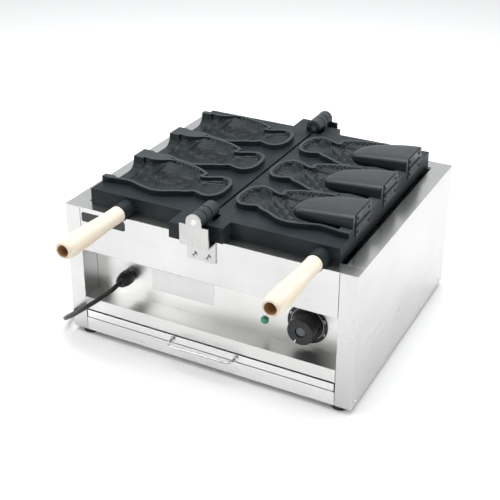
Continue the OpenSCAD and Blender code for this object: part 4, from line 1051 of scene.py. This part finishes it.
def loft(rings):
    """A closed solid through rings of equally many points; returns its bmesh."""
    form = bmesh.new()
    count = len(rings[0])
    verts = [[form.verts.new(p) for p in ring] for ring in rings]
    for low_ring, high_ring in zip(verts, verts[1:]):
        for k in range(count):
            n = (k + 1) % count
            form.faces.new((low_ring[k], low_ring[n], high_ring[n], high_ring[k]))
    form.faces.new(verts[0][::-1])
    form.faces.new(verts[-1])
    bmesh.ops.recalc_face_normals(form, faces=form.faces)
    return form


def former_ring(nose_z, end_z, long, wide):
    """One ring: heights at the nose and at the end face, length and width in hundredths."""
    ring = []
    for p in former_line:
        x = plate_out - (plate_out - p.x) * long / 100
        t = (x - (plate_out - former_l)) / former_l
        ring.append((x * MM, p.y * wide / 100 * MM, (axis_z + nose_z + (end_z - nose_z) * t) * MM))
    return ring


# Height at the nose, height at the end face, length and width of each ring.
upper = [(0.33, 0.33, 100, 100), (1.2, 1.2, 100, 100)] + ring_rows(
    [(6.2, 10.6, 100, 100), (8.6, 14.6, 99.5, 98.6), (10.7, 17.9, 97.5, 94),
     (12.0, 20.0, 93.5, 85), (12.7, 21.3, 87.5, 70), (12.95, 21.9, 81, 50)], 4)
lower = [(z, z, long, wide) for z, long, wide in
         ((-former_low, 88, 60), (-0.72 * former_low, 95, 80), (-0.25 * former_low, 99, 95),
          (0.4, 100, 98.5))]
dome = loft([former_ring(*r) for r in upper])
foot = loft([former_ring(*r) for r in lower])
bmesh.ops.bisect_plane(foot, geom=foot.verts[:] + foot.edges[:] + foot.faces[:], dist=1e-7,
                       plane_co=((wall_in - 0.6) * MM, 0, 0), plane_no=(1, 0, 0), clear_outer=True)
bmesh.ops.holes_fill(foot, edges=[e for e in foot.edges if e.is_boundary])
former_mesh, foot_mesh = (bpy.data.meshes.new(name) for name in ("former", "former_foot"))
foot.to_mesh(foot_mesh)
dome.from_mesh(foot_mesh)
dome.to_mesh(former_mesh)
bpy.data.meshes.remove(foot_mesh)
former_mesh.shade_smooth()
former_mesh.set_sharp_from_angle(angle=radians(42))
for name, y in zip(row, mould_ys):
    piece = add_object(name + "_mouth_former", former_mesh)
    piece.location = at(0, y, 0)
    fit_out(piece, name + "_former", "coated_casting", former_coat, name + "_former")
print("former faces:", len(former_mesh.polygons))

# %% [markdown]
# ## Screw heads
# The screws have rounded heads with a cross recess. A head is a disc of rings whose height is
# a shallow dome, less a cross-shaped pit; all the heads of one group make one mesh. The bracket
# screws keep a short shank, which carries their heads in the sheet.

# %% Heads with a cross recess
screw_low, screw_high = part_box("bracket_screws")
bracket_screw_z = (screw_low.z + screw_high.z) / 2 / MM - bottom_z / MM
print("bracket screws at height, mm:", round(bracket_screw_z, 2))


def screw_heads(name, body, slot, material, places, axis, radius, height, shank=None):
    """Rounded heads; places are points of the drawing in millimetres under each head. A shank,
    if given, is a radius and a length."""
    sides, rings = 48, 15
    level = Vector(axis).to_track_quat("Z", "Y").to_matrix()
    cross_r, slit = 0.56 * radius, 0.13 * radius
    points, faces = [], []
    for n, place in enumerate(places):
        first, turn = len(points), 0.4 + 1.1 * n
        dots = []
        for i in range(rings + 1):
            r = radius * i / rings
            for a in circle(sides):
                u, w = abs(r * cos(a - turn)), abs(r * sin(a - turn))
                h = height * (1 - 0.55 * (r / radius) ** 3) if i < rings else 0
                if max(u, w) < cross_r and min(u, w) < slit:
                    h -= 0.8 * height * (1 - 0.5 * max(u, w) / cross_r)
                dots.append((r, a, h))
        if shank:
            dots += [(shank[0], a, h) for h in (0, -shank[1]) for a in circle(sides)]
        points += [at(*place) + level @ Vector((r * cos(a), r * sin(a), h)) * MM
                   for r, a, h in dots]
        faces += [tuple(first + v for v in face) for face in ring_faces(len(dots) // sides, sides)]
        faces.append(tuple(range(len(points) - sides, len(points))))
    return fit_out(close_up(mesh_piece(name, points, faces), 35), body, slot, material)


front_face, rear_face, screw_x = -2.5, 462.5, 12.5
for name, y, facing in (("bracket_heads", front_face, -1), ("rear_bracket_heads", rear_face, 1)):
    heads = screw_heads(name, "cabinet", "screw_steel", screw_steel,
                        [(x, y, bracket_screw_z) for x in (-screw_x, screw_x)], (0, facing, 0),
                        4.75, 3.1, shank=(2.5, 14.4))
    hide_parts("bracket_screws")
leaf_z, leaf_v, leaf_face, leaf_half = 278.5, 23, 227.5, 11.5
leaf_look = dict(slot="dark_leaf", material=dark_hinge, axis=(1, 0, 0), radius=2.85, height=1.85)
for name, y in zip(row, mould_ys):
    screw_heads(name + "_leaf_heads", name + "_former", **leaf_look,
                places=[(leaf_face, y + v, leaf_z + leaf_half) for v in (-leaf_v, leaf_v)])
screw_heads("fixed_leaf_heads", "right_plate", **leaf_look,
            places=[(leaf_face, y + v, leaf_z - leaf_half)
                    for y in mould_ys for v in (-leaf_v, leaf_v)])

# %% [markdown]
# ## The tray's pull
# A bent bright wire with a small collar at each end. It is swept along straight runs and two
# round bends, so its thickness stays the same all the way.

# %% Bend the wire
pull_low, pull_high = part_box("tray_pull")
wire_r, bend_r, collar_r = 2.5, 12, 4.5
half_span = (pull_high.x - pull_low.x) / MM / 2 - collar_r
pull_z = ((pull_low.z + pull_high.z) / 2 - bottom_z) / MM
reach = (pull_low.y - front_y) / MM + wire_r
back = (pull_high.y - front_y) / MM
bend = [(half_span - bend_r + bend_r * cos(a), reach + bend_r - bend_r * sin(a))
        for a in (k * pi / 20 for k in range(11))]
half_pull = [(half_span, back)] + bend
pull_line = [(-x, y) for x, y in half_pull] + half_pull[::-1]
pull = mesh_piece("wire_pull", *sweep([at(x, y, pull_z) for x, y in pull_line], wire_r * MM, 24))
pull.data.set_sharp_from_angle(angle=radians(50))
fit_out(pull, "tray", "bright_wire", bright_wire, "tray_pull")
collar_profile = rounded([(0, 0), (collar_r, 0), (collar_r, 1.6), (2.6, 2.4), (0, 2.4)],
                         {1: 0.2, 2: 0.6, 3: 0.4})
for side, x in (("left", -half_span), ("right", half_span)):
    collar = lathe(side + "_pull_collar", collar_profile, at(x, -0.4, pull_z), toward_user, 48)
    fit_out(collar, "tray", "bright_wire", bright_wire)
print("pull, mm:", round(half_span, 1), round(reach, 1), round(back, 1), round(pull_z, 1))

# %% [markdown]
# ## Dress the CAD parts
# Parts whose shape is already right keep their CAD mesh and only take a finish. Each line of
# the table names a finish and the parts that wear it.

# %% Which part wears which finish
wardrobe = [
    (steel_across, "front_fascia rear_panel"),
    (steel_recess_lit_copy, "control_panel shelf"),
    (steel_low_lit_copy, "crumb_tray base_pan"),
    (bracket_steel, "front_bracket rear_bracket"),
    (steel_along, "left_side_panel right_side_panel"),
    (steel_inside, "front_liner left_liner right_liner rear_liner tray_runners element_rails"),
    (bright_wire, "tray_pull left_rod right_rod"),
    (screw_steel, "foot_screws panel_screws bracket_screws hinge_pins leaf_pins plug_pins"),
    (rubber, "feet"),
    (black_badge, "badge_plate"),
    (white_film, "rating_plate"),
    (sheath, "left_element right_element"),
    (ceramic, "thermostat terminal_block"),
    (brass, "thermostat_shaft"),
    (copper, "thermostat_bulb"),
    (black_plastic, "knob knob_cap dial_ring lamp_body gland_body gland_nut"),
    (green_lens, "lamp_lens"),
    (sleeve, "inner_leads"),
    (plate_coat, "left_plate right_plate"),
    (former_coat, "front_former middle_former rear_former"),
    (dark_hinge, "front_leaf middle_leaf rear_leaf fixed_leaves fixed_leaf_screws"),
    (cord_rubber, "plug_body cord_lead cord_coil cord_tail"),
    (pale_wood, "left_grip right_grip"),
]
dressed = set()
for material, names in wardrobe:
    for name in names.split():
        dress(nodes[name], material)
        dressed.add(name)
dress(cord, cord_rubber)
print("undressed:", sorted(set(nodes) - dressed))
